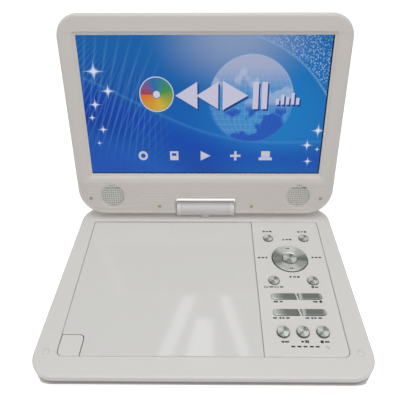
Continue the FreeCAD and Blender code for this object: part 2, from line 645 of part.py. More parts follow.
def disc_drive():
    """Spindle, pickup sled on two rods, and the gear train that moves it."""
    turned("spindle_stator", [("1.2", "chassis_high"), ("10.8", "chassis_high"), ("10.8", "9.4"),
                              ("9.5", "9.4"), ("9.5", "12.6"), ("1.2", "12.6")])
    turned("spindle_rotor", [(0, "9.2"), ("1.15", "9.2"), ("1.15", "13.2"), ("rotor_radius - 0.8", "13.2"),
                             ("rotor_radius - 0.8", "10.4"), ("rotor_radius", "10.4"),
                             ("rotor_radius", "14.4"), ("2.4", "14.4"), ("2.4", "15.2"), (0, "15.2")])
    turned("turntable_hub", [(0, "15.2"), ("hub_flange", "15.2"), ("hub_flange", "disc_level"),
                             ("hub_radius", "disc_level"), ("hub_radius", "19.6"),
                             ("hub_radius - 1.2", "20.8"), (0, "20.8")])
    corners = [(x, y) for x in (-58, 18) for y in (-150, -72)]
    plate = box("-63", "-160", "chassis_low", "24", "-66", "chassis_high")
    sunk = "chassis_high - 0.1"
    holders = [box("%s - 2.2" % x, y - 2, sunk, "%s + 2.2" % x, y + 2, "13.6")
               for x in RODS for y in (-157, -95)]
    axle = [rod("gear_across", "gear_along", sunk, "1.0", "3.9")]
    props = [rod(PINION_ACROSS, "gear_along + %s" % along, sunk, "1.2", "2.0") for along in (-5, 5)]
    gaps = [box("-48", "-154", "6", "-16", "-102", "9")]
    gaps += [rod(x, "-160", "rod_level", "rod_radius", "70", "y") for x in RODS]
    gaps += [rod(x, y, "6", "1.6", "3") for x, y in corners]
    finish(carve(join([plate] + holders + axle + props), gaps), "drive_chassis")
    dampers = [carve(rod(x, y, "floor_top", "3.6", "chassis_low - floor_top"),
                     [rod(x, y, "floor_top - 1", "1.4", "6")]) for x, y in corners]
    finish(group(dampers), "drive_dampers")
    rods = [rod(x, "-159", "rod_level", "rod_radius", "66", "y") for x in RODS]
    finish(group(rods), "guide_rods")


RODS = "rod_near", "rod_far"
PINION_ACROSS = "gear_across + (wheel_teeth + pinion_teeth) * wheel_module / 2"
TOOTH_PLAY = 0.12
ROOT_DEPTH, TIP_HEIGHT = 1.2, 0.9
SLOPE = math.tan(math.radians(20))


def gear(teeth, module, thickness):
    """Spur gear with straight-sided teeth, drawn about its own axis, one tooth on +X."""
    pitch = teeth * module / 2
    root = pitch - ROOT_DEPTH * module
    tip = pitch + TIP_HEIGHT * module
    half = math.pi * module / 4 - TOOTH_PLAY
    wide = (half + ROOT_DEPTH * module * SLOPE) / root
    slim = (half - TIP_HEIGHT * module * SLOPE) / tip
    points = []
    for index in range(teeth):
        turn = index * 2 * math.pi / teeth
        points += [(root, turn - wide), (tip, turn - slim), (tip, turn + slim), (root, turn + wide)]
    wire = Part.makePolygon([V(r * math.cos(a), r * math.sin(a), 0) for r, a in points + points[:1]])
    return Part.Face(wire).extrude(V(0, 0, thickness))


def shaped(label, shape, frame="base", at=(0, 0, 0)):
    """A sub-part whose shape is worked out in code from the sheet."""
    made = doc.addObject("Part::Feature", label)
    made.Shape = shape
    return finish(made, label, frame, at)


def sled_and_gears():
    """Pickup sled with its rack, the lens, the feed gear, and the motor with its pinion."""
    module = size("rack_module")
    teeth = size("rack_teeth")
    step = math.pi * module
    pitch_line = size("gear_across - disc_across") - teeth * module / 2
    sled = Body("pickup_sled", at=("disc_across", "disc_along - sled_start", 0))
    sled.add([rect("-sled_half", "-sled_depth", "sled_half", "sled_depth")], "sled_low", "sled_high")
    lugs = [("%s - disc_across" % side, "rod_level", "rod_radius + 0.5") for side in RODS]
    sled.add(lugs, "-7", "7", "XZ_Plane")
    sled.add([rect("rod_far - disc_across", "-6", "rod_near - disc_across", "6")], "11.0", "13.0")
    half = step / 4 - TOOTH_PLAY
    root = pitch_line - ROOT_DEPTH * module
    tip = pitch_line + TIP_HEIGHT * module
    wide = half + ROOT_DEPTH * module * SLOPE
    slim = half - TIP_HEIGHT * module * SLOPE
    middle = size("gear_along - disc_along + sled_start")
    near_end = middle - 4
    far_end = middle + 39
    edge = [(root - 2, near_end), (root, near_end)]
    for index in range(-1, 12):
        centre = middle + (index + 0.5) * step
        edge += [(root, centre - wide), (tip, centre - slim), (tip, centre + slim), (root, centre + wide)]
    edge += [(root, far_end), (root - 2, far_end)]
    rack_top = "sled_low + 1.6"
    sled.add([[(str(x), str(y)) for x, y in edge]], "sled_low", rack_top)
    sled.add([rect("rod_near - disc_across", "-6", root - 1, "6")], "sled_low", rack_top)
    bores = [("%s - disc_across" % side, "rod_level", "rod_radius + running") for side in RODS]
    sled.cut(bores, "-8", "8", "XZ_Plane")
    sled.cut([(0, 0, "lens_radius + 0.6")], "sled_low + 0.8", "sled_high")
    lens = Body("objective_lens", at=("disc_across", "disc_along - sled_start", 0))
    lens.turn([(0, "11.1"), ("lens_radius", "11.1"), ("lens_radius", "15.6"), ("lens_radius - 1", "15.8"),
               ("lens_radius - 1.4", "16.2"), (0, "16.4")])
    wheel = gear(int(size("wheel_teeth")), size("wheel_module"), 1.0)
    wheel.translate(V(0, 0, 8.5))
    small = gear(int(teeth), module, 1.7)
    small.translate(V(0, 0, 9.7))
    hub = Part.makeCylinder(2.6, 2.9, V(0, 0, 8.5))
    train = wheel.fuse([small, hub]).cut(Part.makeCylinder(1 + size("running"), 6, V(0, 0, 7)))
    shaped("feed_gear", train, at=("gear_across", "gear_along", 0))
    pinion = gear(int(size("pinion_teeth")), size("wheel_module"), 1.1)
    pinion.rotate(V(), V(0, 0, 1), 180 / size("pinion_teeth"))
    pinion.translate(V(0, 0, 8.5))
    pinion = pinion.fuse(Part.makeCylinder(0.75, 4, V(0, 0, 8.5)))
    shaped("motor_pinion", pinion, at=(PINION_ACROSS, "gear_along", 0))
    motor = Body("sled_motor", at=(PINION_ACROSS, "gear_along", 0))
    eased = "motor_radius - 0.6"
    motor.turn([("0.8", "motor_low"), (eased, "motor_low"), ("motor_radius", "motor_low + 0.5"),
                ("motor_radius", "motor_high - 0.5"), (eased, "motor_high"), ("0.8", "motor_high")])


def lid_latch():
    """Slider that the open button pushes forwards, with a hook over the disc lid's catch."""
    latch = Body("lid_latch")
    latch.add([rect("-104.6", "-157", "-93.6", "-145.4")], "latch_low", "latch_plate")
    latch.add([rect("-98.4", "-147.4", "-93.6", "-145.4")], "latch_plate", "latch_neck")
    latch.add([rect("-98.4", "-147.4", "-93.6", "-144.9")], "latch_neck", "latch_top")


def fasteners_and_feet():
    """Feet, bumpers, screws and pins that are grouped in one node each."""
    feet = [rod(x, y, "0", "foot_radius", "foot_height + foot_sink") for x, y in FEET]
    finish(group(feet), "rubber_feet")
    screws = []
    seat = "foot_height + post_head_depth"
    for x, y in SCREW_POSTS:
        screws.append(join([rod(x, y, seat + " - 1.8", "2.3", "1.8"),
                            rod(x, y, seat, "post_bore - 0.05", "10")]))
    for x, y in BRACKET_SCREWS:
        screws.append(join([rod(x, y, "seat_top + 2", "2.3", "1.6"), rod(x, y, "4.4", "thread", "7.0")]))
    finish(group(screws), "case_screws")
    bumpers = [rod("%s116.4" % side, "-159.5", "base_top", "2.75", "0.8") for side in ("-", "")]
    finish(group(bumpers), "base_bumpers")
    finish(group([rod("lamp_across", "lamp_along", "panel_top - 2", "lamp_radius", "2.1")]), "status_lens")
    left = "-recess_back_half - pivot_left + 0.8"
    pins = [rod(left, "lid_axis_along", "lid_axis_level", "lid_pin", "8", "x"),
            rod("split_back - 4.4", "lid_axis_along", "lid_axis_level", "lid_pin", "8.2", "x")]
    finish(group(pins), "disc_lid_pins")


# ---- Main hinge ----------------------------------------------------------------------------------


def main_hinge():
    """Swivel column in its bracket, the yoke and tilt shafts above it, and the covers round them."""
    level = "axis_height"
    foot = "neck_foot"
    body = join([rod("-barrel_half + cap_length", 0, level, "barrel_radius",
                     "2 * (barrel_half - cap_length)", "x"),
                 rod(0, 0, foot, "neck_radius", "axis_height - neck_foot"),
                 rod(0, 0, foot, "neck_radius + 1.7", "1.4")])
    hollow = [rod("-barrel_half", 0, level, "barrel_bore", "2 * barrel_half", "x"),
              rod(0, 0, "neck_foot - 0.2", "column_radius + 1", "axis_height - neck_foot + 0.2")]
    finish(carve(body, hollow), "hinge_cover")
    caps = []
    bore = rod("-barrel_half - 1", 0, level, "shaft_radius + 0.15", "2 * barrel_half + 2", "x")
    for start, inset in (("-barrel_half", "-barrel_half + 2"),
                         ("barrel_half - cap_length + 0.1", "barrel_half - cap_length - 2")):
        outer = rod(start, 0, level, "barrel_radius", "cap_length - 0.1", "x")
        plug = rod(inset, 0, level, "barrel_bore - 0.1", "cap_length", "x")
        caps.append(carve(join([outer, plug]), [bore]))
    finish(group(caps), "hinge_end_caps")
    plate = box("-ear_at - 1.5", -3.0, "axis_height - 3.8", "ear_at + 1.5", 3.0, "axis_height - 2.8")
    ears = [rod(start, 0, level, "barrel_bore - 0.6", "1.5", "x") for start in ("ear_at", "-ear_at - 1.5")]
    bore = rod("-ear_at - 3", 0, level, "shaft_radius + running", "2 * ear_at + 6", "x")
    finish(carve(join([plate] + ears), [bore, rod(0, 0, "20", "column_bore", "12")]), "tilt_yoke")
    tube = join([rod(0, 0, "8", "column_radius", "axis_height - 3.8 - 8"),
                 rod(0, 0, "seat_top + 2.1", "column_radius + 1.8", "1.2"),
                 rod(0, 0, "8", "column_radius + 1.4", "1.3")])
    finish(carve(tube, [rod(0, 0, "7", "column_bore", "25")]), "swivel_column")
    holes = [rod(0, 0, "9", "column_radius + running", "3")]
    holes += [rod(x, y, "9", "1.2", "3") for x, y in BRACKET_SCREWS]
    finish(carve(box("-19", -8, "seat_top", "19", 8, "seat_top + 2"), holes), "hinge_bracket")


def tilt_shafts():
    """Two steel shafts fixed to the screen, each with a friction collar inside the yoke."""
    shafts = []
    for start, collar in (("-43", "-19.9"), ("18.2", "18.2")):
        shafts.append(join([rod(start, 0, 0, "shaft_radius", "24.8", "x"),
                            rod(collar, 0, 0, "2.6", "1.7", "x")]))
    finish(group(shafts), "tilt_shafts", "screen")
    brackets = []
    for across in ("-bracket_across", "bracket_across"):
        left = across + " - 4"
        right = across + " + 4"
        block = join([box(left, "-eye_half", "-eye_half", right, "eye_half", "3.4"),
                      box(left, "eye_half - 0.1", "1.6", right, "bracket_up + 5", "3.4")])
        brackets.append(carve(block, [rod(left + " - 1", 0, 0, "shaft_radius", "10", "x"),
                                      rod(across, "bracket_up", "1", "thread", "3")]))
    finish(group(brackets), "lid_brackets", "screen")


# ---- Screen --------------------------------------------------------------------------------------

SHELL = Rounded("-half_width", "screen_bottom", "half_width", "screen_top", "bottom_corner", "top_corner")
HOLLOW = Rounded("-half_width + wall", "screen_bottom + wall", "half_width - wall", "screen_top - wall",
                 "bottom_corner - wall", "top_corner - wall")
SCREEN_SCREWS = ((-100, 176), (100, 176), (-115.5, 22), (115.5, 22), (-52, 22), (52, 22))


def screen_shell(shell, low, high, inner_low, inner_high):
    """What the two halves of the screen's case share: hollow, hinge notch and shaft holes."""
    shell.cut([HOLLOW], inner_low, inner_high)
    shell.add([rect("-notch_half - wall", "screen_bottom + 3", "notch_half + wall", "notch_top + wall")],
              inner_low, inner_high)
    shell.cut([rect("-notch_half", "screen_bottom - 1", "notch_half", "notch_top")], low, high)
    shell.cut([(0, 0, "shaft_radius + 0.4")], "-34", "34", "YZ_Plane")
    for across in ("-bracket_across", "bracket_across"):
        eye = rect(across + " - 4.6", "-eye_half - 0.4", across + " + 4.6", "screen_bottom + wall + 0.1")
        shell.cut([eye], max(size(inner_low), -3.4), min(size(inner_high), 3.6))


def screen_case():
    """Front bezel with the bevelled window and speaker holes, and the rear cover."""
    front = Body("lid_front_bezel", "screen")
    front.add([SHELL], "0", "screen_half")
    front.soften("front_edge", lambda e: level_edge(e, "screen_half"))
    screen_shell(front, "-1", "screen_half + 1", "0", "screen_half - wall")
    view = rect("-view_half", "view_bottom", "view_half", "view_top")
    front.cut([view], "screen_half - wall", "screen_half")
    front.sink((rect("-bevel_half", "bevel_bottom", "bevel_half", "bevel_top"), "screen_half"),
               (view, "bevel_level"))
    front.cut([("%sgrille_across" % side, "grille_up", "grille_radius + 0.05") for side in ("-", "")],
              "screen_half - wall", "screen_half")
    front.cut([rect("-half_width - 1", "strip_top - 0.3", "half_width + 1", "strip_top + 0.3")],
              "screen_half - 0.4", "screen_half")
    front.add([(x, y, "2.2") for x, y in SCREEN_SCREWS], "0", "screen_half - wall")
    front.cut([(x, y, "0.8") for x, y in SCREEN_SCREWS], "0", "screen_half - wall")
    seats = [("%sbracket_across" % side, "bracket_up") for side in ("-", "")]
    front.add([(x, y, "3.4") for x, y in seats], "3.4", "screen_half - wall")
    front.cut([(x, y, "0.9") for x, y in seats], "3.4", "screen_half - 0.9")
    rear = Body("lid_rear_cover", "screen")
    rear.add([SHELL], "-screen_half", "0")
    rear.soften("back_edge", lambda e: level_edge(e, "-screen_half"))
    screen_shell(rear, "-screen_half - 1", "1", "-screen_half + wall", "0")
    rear.add([(x, y, "2.2") for x, y in SCREEN_SCREWS], "-screen_half + 0.6", "-0.05")
    rear.cut([(x, y, "1.0") for x, y in SCREEN_SCREWS], "-screen_half", "-0.05")
    rear.cut([(x, y, "1.8") for x, y in SCREEN_SCREWS], "-screen_half", "-screen_half + 1.8")


def screen_contents():
    """Display, speakers, grilles, bumpers and screws."""
    panel = Body("lcd_panel", "screen")
    panel.add([rect("-lcd_half", "lcd_bottom", "lcd_half", "lcd_top")], "3.4", "screen_half - wall")
    tray = Body("lcd_frame", "screen")
    tray.add([rect("-lcd_half", "lcd_bottom", "lcd_half", "lcd_top")], "0.6", "3.4")
    tray.soften("1", lambda e: level_edge(e, "0.6"))
    cones = []
    for at in ("-grille_across", "grille_across"):
        cones.append(join([rod(at, "grille_up", "2.4", "12.6", "1.7"),
                           rod(at, "grille_up", "-1.2", "8.2", "3.7"),
                           rod(at, "grille_up", "-4.2", "6", "3.1")]))
    finish(group(cones), "speakers", "screen")
    plates = []
    pitch = size("grille_pitch")
    hole = size("grille_hole")
    for side in (-1, 1):
        centre = V(side * size("grille_across"), size("grille_up"), 0)
        plate = Part.makeCylinder(size("grille_radius"), 2, centre + V(0, 0, 5))
        plate = plate.fuse(Part.makeCylinder(size("grille_radius") + 1.0, 0.8, centre + V(0, 0, 4.2)))
        holes = [Part.makeBox(hole, hole, 4, centre + V(i * pitch - hole / 2, j * pitch - hole / 2, 3.6))
                 for i in range(-5, 6) for j in range(-5, 6) if math.hypot(i, j) * pitch < 11.2]
        plates.append(plate.cut(Part.makeCompound(holes)))
    shaped("speaker_grilles", Part.makeCompound(plates), "screen")
    pads = [box("%s - 1.5" % x, y - 1.5, "screen_half", "%s + 1.5" % x, y + 1.5, "screen_half + 0.8")
            for x, y in ((-115.5, 13.75), (115.5, 13.75), (-46.6, 5.1), (46.6, 5.1))]
    finish(group(pads), "screen_bumpers", "screen")
    screws = [join([rod(x, y, "-screen_half + 0.6", "1.6", "1.2"),
                    rod(x, y, "-screen_half + 1.8", "0.75", "9.4")]) for x, y in SCREEN_SCREWS]
    for at in ("-bracket_across", "bracket_across"):
        screws.append(join([rod(at, "bracket_up", "0.4", "1.9", "1.2"),
                            rod(at, "bracket_up", "1.6", "0.85", "4.2")]))
    finish(group(screws), "lid_screws", "screen")


for build in (bottom_case, top_case, control_panel, disc_tray, disc_lid, release_button, direction_pad,
              key_board, main_board, battery, ports, disc_drive, sled_and_gears, lid_latch,
              fasteners_and_feet, main_hinge, tilt_shafts, screen_case, screen_contents):
    print(build.__name__, flush=True)
    build()
for name, *place in ROUND_KEYS:
    round_key(name)
for name, along, side in (("volume_down_key", "volume_along", -1), ("volume_up_key", "volume_along", 1),
                          ("skip_back_key", "skip_along", -1), ("skip_forward_key", "skip_along", 1)):
    bar_key(name, along, side)

doc.recompute()
for item in doc.Objects:
    if "Invalid" in item.State or "Error" in item.State:
        raise RuntimeError("%s failed: %s" % (item.Label, item.State))
os.makedirs("parts", exist_ok=True)
for piece in PIECES:
    shape = piece.Shape
    if shape.isNull() or not shape.isValid():
        raise RuntimeError(piece.Label + " has no valid shape")
    print("%-18s solids %d  volume %9.1f" % (piece.Label, len(shape.Solids), shape.Volume))
    shape.exportStep("parts/%s.step" % piece.Label)
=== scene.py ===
import json
import math

import bmesh
import bpy
from mathutils import Matrix, Vector
from mathutils.geometry import tessellate_polygon


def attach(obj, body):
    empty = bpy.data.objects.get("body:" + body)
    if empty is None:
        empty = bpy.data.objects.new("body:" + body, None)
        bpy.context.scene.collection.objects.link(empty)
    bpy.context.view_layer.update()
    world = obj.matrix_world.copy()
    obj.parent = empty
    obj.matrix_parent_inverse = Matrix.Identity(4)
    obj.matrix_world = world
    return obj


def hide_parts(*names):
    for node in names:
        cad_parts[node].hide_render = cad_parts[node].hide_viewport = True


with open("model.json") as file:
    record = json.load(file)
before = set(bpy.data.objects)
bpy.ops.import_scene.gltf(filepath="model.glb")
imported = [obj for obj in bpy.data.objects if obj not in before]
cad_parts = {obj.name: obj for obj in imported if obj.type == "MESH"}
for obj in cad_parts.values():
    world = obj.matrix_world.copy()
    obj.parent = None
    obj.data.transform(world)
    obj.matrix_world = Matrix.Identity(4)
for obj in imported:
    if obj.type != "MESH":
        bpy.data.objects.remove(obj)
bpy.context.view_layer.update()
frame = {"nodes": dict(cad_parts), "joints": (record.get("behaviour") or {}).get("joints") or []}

# Lengths are in millimetres. The base is drawn with y = 0 under the tilt axis and z = 0 on the table.
# The screen is drawn lying flat: x across, y up the screen from the tilt axis and z forward out of it.
MM = 0.001
TILT = next(joint for joint in frame["joints"] if joint["name"] == "screen_tilt")
LEAN = math.radians(-TILT["range_deg"][0] - 90)
AXIS = Vector(TILT["pos_m"])
BASE = Matrix.Translation((0, AXIS.y, 0)) @ Matrix.Scale(MM, 4)
SCREEN = Matrix.Translation(AXIS) @ Matrix.Rotation(math.pi / 2 - LEAN, 4, "X") @ Matrix.Scale(MM, 4)
LYING = Matrix.Rotation(math.pi / 2, 4, "Y")


# ---- Outlines ----

ARC_STEPS = 10


def rounded(corners, radii, steps=ARC_STEPS):
    """An anticlockwise outline through corners that are turned into arcs."""
    outline = []
    for index, (corner, radius) in enumerate(zip(corners, radii)):
        corner = Vector(corner)
        back = (Vector(corners[index - 1]) - corner).normalized()
        on = (Vector(corners[(index + 1) % len(corners)]) - corner).normalized()
        half = back.angle(on) / 2
        middle = corner + (back + on).normalized() * radius / math.sin(half)
        first = corner + back * radius / math.tan(half) - middle
        turn = (math.pi - 2 * half) * (1 if back.cross(on) < 0 else -1)
        for step in range(steps + 1):
            outline.append(middle + Matrix.Rotation(turn * step / steps, 2) @ first)
    return outline


def oblong(left, front, right, back, radius, steps=ARC_STEPS):
    """A rectangle with equal round corners."""
    corners = [(left, front), (right, front), (right, back), (left, back)]
    return rounded(corners, [radius] * 4, steps)


def circle(radius, across=0, along=0, count=64):
    turns = (math.tau * step / count for step in range(count))
    return [Vector((across + radius * math.cos(turn), along + radius * math.sin(turn))) for turn in turns]


def inset(outline, distance):
    """The outline moved to its left, which is inwards when it runs anticlockwise."""
    moved = []
    for index, point in enumerate(outline):
        before = (point - outline[index - 1]).normalized()
        after = (outline[(index + 1) % len(outline)] - point).normalized()
        normals = Vector((-before.y - after.y, before.x + after.x))
        moved.append(point + normals * distance / (1 + before.dot(after)))
    return moved


def hole(outline):
    """The outline of an opening, which runs clockwise."""
    return outline[::-1]


# ---- Solids ----

EASE_STEPS = 5
HOLD = 0.12


def wall(outline, *steps):
    """A rim along an outline: each step is (how far into the material, level)."""
    return [(inset(outline, into), level) for into, level in steps]


def eased(radius, level):
    """The steps of a rounded edge that ends on a flat face at a level."""
    steps = []
    for step in range(EASE_STEPS + 1):
        turn = math.pi / 2 * step / EASE_STEPS
        steps.append((radius * (1 - math.cos(turn)), level - radius * (1 - math.sin(turn))))
    return [*steps, (radius + HOLD, level)]


def skin(rims, caps):
    """A closed surface: walls along rims, and flat caps between the rim ends that each cap names."""
    points, faces, ends = [], [], []
    for rim in rims:
        rings = []
        for outline, level in rim:
            rings.append([len(points) + index for index in range(len(outline))])
            points += [Vector((point.x, point.y, level)) for point in outline]
        for low, high in zip(rings, rings[1:]):
            faces += [(low[i - 1], low[i], high[i], high[i - 1]) for i in range(len(low))]
        ends.append((rings[0], rings[-1]))
    for cap in caps:
        loops = [ends[rim][end] for rim, end in cap]
        order = [corner for loop in loops for corner in loop]
        triangles = tessellate_polygon([[points[corner] for corner in loop] for loop in loops])
        faces += [[order[corner] for corner in triangle] for triangle in triangles]
    return points, faces


START, END = 0, -1


def plate(*rims):
    """A flat solid: the first rim is its edge and the others are openings through it."""
    return skin(rims, [[(rim, end) for rim in range(len(rims))] for end in (START, END)])


def turned(profile, across=0, along=0, count=64):
    """A solid turned about an upright line, from (radius, level) points that start at its foot."""
    return plate([(circle(radius, across, along, count), level) for radius, level in profile])


def block(left, front, low, right, back, high, ease=0.3):
    """A box with eased upright edges and an eased top."""
    outline = oblong(left, front, right, back, ease, 3)
    return plate(wall(outline, (0, low), *eased(ease * 0.9, high)))


def placed(solid, place):
    points, faces = solid
    return [place @ point for point in points], faces


# ---- Finishes ----

def shade(red, green, blue):
    """A display colour out of 255 as scene-linear light."""
    parts = (part / 255 for part in (red, green, blue))
    return tuple(part / 12.92 if part < 0.04045 else ((part + 0.055) / 1.055) ** 2.4 for part in parts)


class Value:
    """The value of a node's socket, on which maths is written as plain sums."""

    def __init__(self, finish, socket):
        self.finish = finish
        self.socket = socket

    def maths(self, operation, *values):
        return self.finish.node("Math", {"operation": operation}, *values)

    def __add__(self, other):
        return self.maths("ADD", self, other)

    def __sub__(self, other):
        return self.maths("SUBTRACT", self, other)

    def __rsub__(self, other):
        return self.maths("SUBTRACT", other, self)

    def __mul__(self, other):
        return self.maths("MULTIPLY", self, other)

    def __truediv__(self, other):
        return self.maths("DIVIDE", self, other)

    def __pow__(self, other):
        return self.maths("POWER", self, other)

    def __abs__(self):
        return self.maths("ABSOLUTE", self)

    def sine(self):
        return self.maths("SINE", self)

    def angle(self, across):
        """The angle of a point, from how far up and how far across it lies."""
        return self.maths("ARCTAN2", self, across)

    __radd__ = __add__
    __rmul__ = __mul__

    def above(self, edge, soft):
        """0 below an edge and 1 above it, with a soft step between."""
        settings = {"interpolation_type": "SMOOTHSTEP"}
        return self.finish.node("MapRange", settings, self, edge - soft / 2, edge + soft / 2, 0.0, 1.0)

    def below(self, edge, soft):
        return 1 - self.above(edge, soft)

    def near(self, middle, half, soft):
        """1 within a band and 0 outside it."""
        return abs(self - middle).below(half, soft)


class Finish:
    """A surface made of nodes. Lengths are in millimetres."""

    def __init__(self, name, colour, fixed):
        self.material = bpy.data.materials.new(name)
        self.material.use_nodes = True
        self.tree = self.material.node_tree
        self.shader = self.tree.nodes["Principled BSDF"]
        self.colour = colour
        self.set("Base Color", (*colour, 1))
        for socket, value in fixed.items():
            self.set(socket, value)
        place = self.node("TexCoord", {}, output="Object")
        self.where = self.node("VectorMath", {"operation": "SCALE"}, place, Scale=1 / MM)

    def feed(self, socket, value):
        if isinstance(value, Value):
            self.tree.links.new(value.socket, socket)
        else:
            socket.default_value = value

    def set(self, name, value):
        self.feed(self.shader.inputs[name], value)

    def node(self, kind, settings, *values, output=None, **named):
        """A node of any kind: its settings, then the values of its sockets in order or by name."""
        made = self.tree.nodes.new("ShaderNode" + kind)
        for name, setting in settings.items():
            if name == "stops":
                self.set_stops(made.color_ramp, setting)
            else:
                setattr(made, name, setting)
        for socket, value in zip((socket for socket in made.inputs if socket.enabled), values):
            self.feed(socket, value)
        for name, value in named.items():
            self.feed(made.inputs[name.replace("_", " ")], value)
        first = next(socket for socket in made.outputs if socket.enabled)
        return Value(self, made.outputs[output] if output else first)

    def set_stops(self, ramp, stops):
        while len(ramp.elements) < len(stops):
            ramp.elements.new(0.5)
        for element, (position, colour) in zip(ramp.elements, stops):
            element.position = position
            element.color = (*colour, 1)

    def noise(self, size, detail=2.0):
        return self.node("TexNoise", {}, Vector=self.where, Scale=1 / size, Detail=detail)

    def along(self, direction):
        """How far a point lies along a direction, in millimetres."""
        return self.node("VectorMath", {"operation": "DOT_PRODUCT"}, self.where, direction, output="Value")

    def most(self, one, other):
        return self.node("Math", {"operation": "MAXIMUM"}, one, other)

    def mix(self, amount, one, other):
        return self.node("Mix", {"data_type": "RGBA"}, amount, one, other)

    def bump(self, height, depth):
        self.set("Normal", self.node("Bump", {}, Distance=depth * MM, Height=height))

    def tint(self, amount, by):
        """Vary the colour a little, up and down from its own value."""
        low = (*(part * (1 - by) for part in self.colour), 1)
        high = (*(min(1, part * (1 + by)) for part in self.colour), 1)
        self.set("Base Color", self.mix(amount, low, high))


def plastic(name, colour, roughness, grain=0.35, depth=0.02, coat=0.0):
    """Moulded plastic: a spark-eroded grain, slight flow marks and a finish that varies."""
    made = Finish(name, colour, {"Coat Weight": coat, "Coat Roughness": 0.05})
    clouds = made.noise(45)
    fine = made.noise(grain, 3)
    made.tint(clouds * 0.7 + fine * 0.3, 0.03)
    made.set("Roughness", roughness * 0.88 + fine * (roughness * 0.24))
    made.bump(fine + clouds * 0.5, depth)
    return made


def metal(name, colour, roughness, grain=0.5):
    """Machined metal with a fine uneven polish."""
    made = Finish(name, colour, {"Metallic": 1.0})
    fine = made.noise(grain, 3)
    made.tint(made.noise(6), 0.06)
    made.set("Roughness", roughness * 0.8 + fine * (roughness * 0.4))
    made.bump(fine, 0.006)
    return made


def spun_silver_painted_sheen(name, across, along, start, edge, light=1.0):
    """Silver key face, turned on a lathe: painted light and dark reflection sectors, fine rings, painted rim
    shade.
    """
    made = Finish(name, shade(205, 208, 203), {"Metallic": 0.7})
    x = made.along((1, 0, 0)) - across
    y = made.along((0, 1, 0)) - (along + AXIS.y / MM)
    turn = y.angle(x)
    wave = (turn * 2 + start).sine()
    flicker = (turn * 7 + start).sine()
    radius = (x * x + y * y) ** 0.5
    rings = (radius * 28 + made.noise(2) * 2).sine()
    hairs = made.node("TexNoise", {"noise_dimensions": "1D"}, W=radius, Scale=5.0, Detail=4.0)
    spokes = made.node("TexNoise", {"noise_dimensions": "1D"}, W=turn, Scale=11.0, Detail=3.0)
    # Painted reflection: light and dark sectors by angle stand in for the sheen of the turned metal.
    painted_sheen_sectors = wave * 0.42 + flicker * 0.12 + spokes * 0.7 + hairs * 0.12 + 0.1
    low, middle = shade(128 * light, 135 * light, 129 * light), shade(204 * light, 209 * light, 203 * light)
    stops = [(0.0, low), (0.5, middle), (0.9, shade(246, 248, 244))]
    face = made.node("ValToRGB", {"stops": stops}, painted_sheen_sectors)
    # Painted shade: the rim of each key face is darkened.
    made.set("Base Color", made.mix(radius.above(edge - 0.35, 0.5) * 0.75, face, (*shade(70, 74, 71), 1)))
    made.set("Roughness", 0.24 + hairs * 0.12)
    made.bump(rings * 0.5 + hairs, 0.008)
    return made


WHITE = shade(226, 224, 222)
white_shell = plastic("white_shell", WHITE, 0.36, coat=0.15)
barrel_white = plastic("barrel_white", shade(214, 210, 210), 0.36, coat=0.1)
gloss_lid = plastic("gloss_lid", shade(224, 224, 222), 0.085, grain=6, depth=0.0015, coat=0.5)
panel_white = plastic("panel_white", shade(226, 225, 222), 0.34, coat=0.1)
# Painted shade: the screen's white is a slightly darker copy of the white plastic.
bezel_shaded_white = plastic("bezel_shaded_white", shade(222, 217, 213), 0.40, coat=0.05)
inner_white = plastic("inner_white", shade(196, 196, 194), 0.5)
grille_grey = plastic("grille_grey", shade(222, 221, 217), 0.45)
gear_white = plastic("gear_white", shade(228, 226, 214), 0.35)
bumper_white = plastic("bumper_white", shade(224, 221, 217), 0.55, grain=0.2)
bumper_amber = plastic("bumper_amber", shade(178, 163, 122), 0.5, grain=0.2)
feet_rubber = plastic("feet_rubber", shade(70, 70, 72), 0.75, grain=0.25, depth=0.05)
dark_rubber = plastic("dark_rubber", shade(40, 40, 42), 0.8, grain=0.25, depth=0.05)
port_black = plastic("port_black", shade(30, 30, 32), 0.45)
wrap_blue = plastic("wrap_blue", shade(60, 92, 150), 0.3, grain=2.0, depth=0.05, coat=0.4)
cloth_grey = plastic("cloth_grey", shade(112, 114, 112), 0.8, grain=0.5)
speaker_dark = metal("speaker_dark", shade(150, 152, 150), 0.4)
steel = metal("steel", shade(176, 178, 180), 0.28)
port_metal = metal("port_metal", shade(168, 168, 170), 0.3)
ink = plastic("ink", shade(14, 14, 16), 0.6, grain=0.15)


def circuit_board():
    """Green solder mask with copper tracks, and dark chips standing above it."""
    made = Finish("circuit_board", shade(28, 92, 52), {"Coat Weight": 0.4, "Coat Roughness": 0.15})
    tracks = made.node("TexBrick", {}, Vector=made.where, Scale=0.18, Mortar_Size=0.04, output="Fac")
    pads = made.node("TexVoronoi", {}, Vector=made.where, Scale=0.3).below(0.16, 0.04)
    masked = made.mix(tracks, (*shade(24, 84, 46), 1), (*shade(58, 132, 74), 1))
    made.set("Base Color", made.mix(pads, masked, (*shade(206, 196, 160), 1)))
    made.set("Roughness", 0.3 + made.noise(3) * 0.2)
    made.bump(tracks + pads, 0.03)
    return made


def clear_lens():
    """Coated glass of the objective."""
    fixed = {"Transmission Weight": 0.35, "IOR": 1.5, "Coat Weight": 0.5}
    made = Finish("clear_lens", shade(150, 170, 205), fixed)
    made.set("Roughness", 0.05 + made.noise(2) * 0.05)
    made.tint(made.noise(3), 0.08)
    return made


def indicator_lens():
    """Milky window of the charge light."""
    made = Finish("indicator_lens", shade(226, 226, 204), {"Transmission Weight": 0.1, "IOR": 1.45})
    made.set("Roughness", 0.12 + made.noise(1) * 0.08)
    made.tint(made.noise(2), 0.05)
    return made


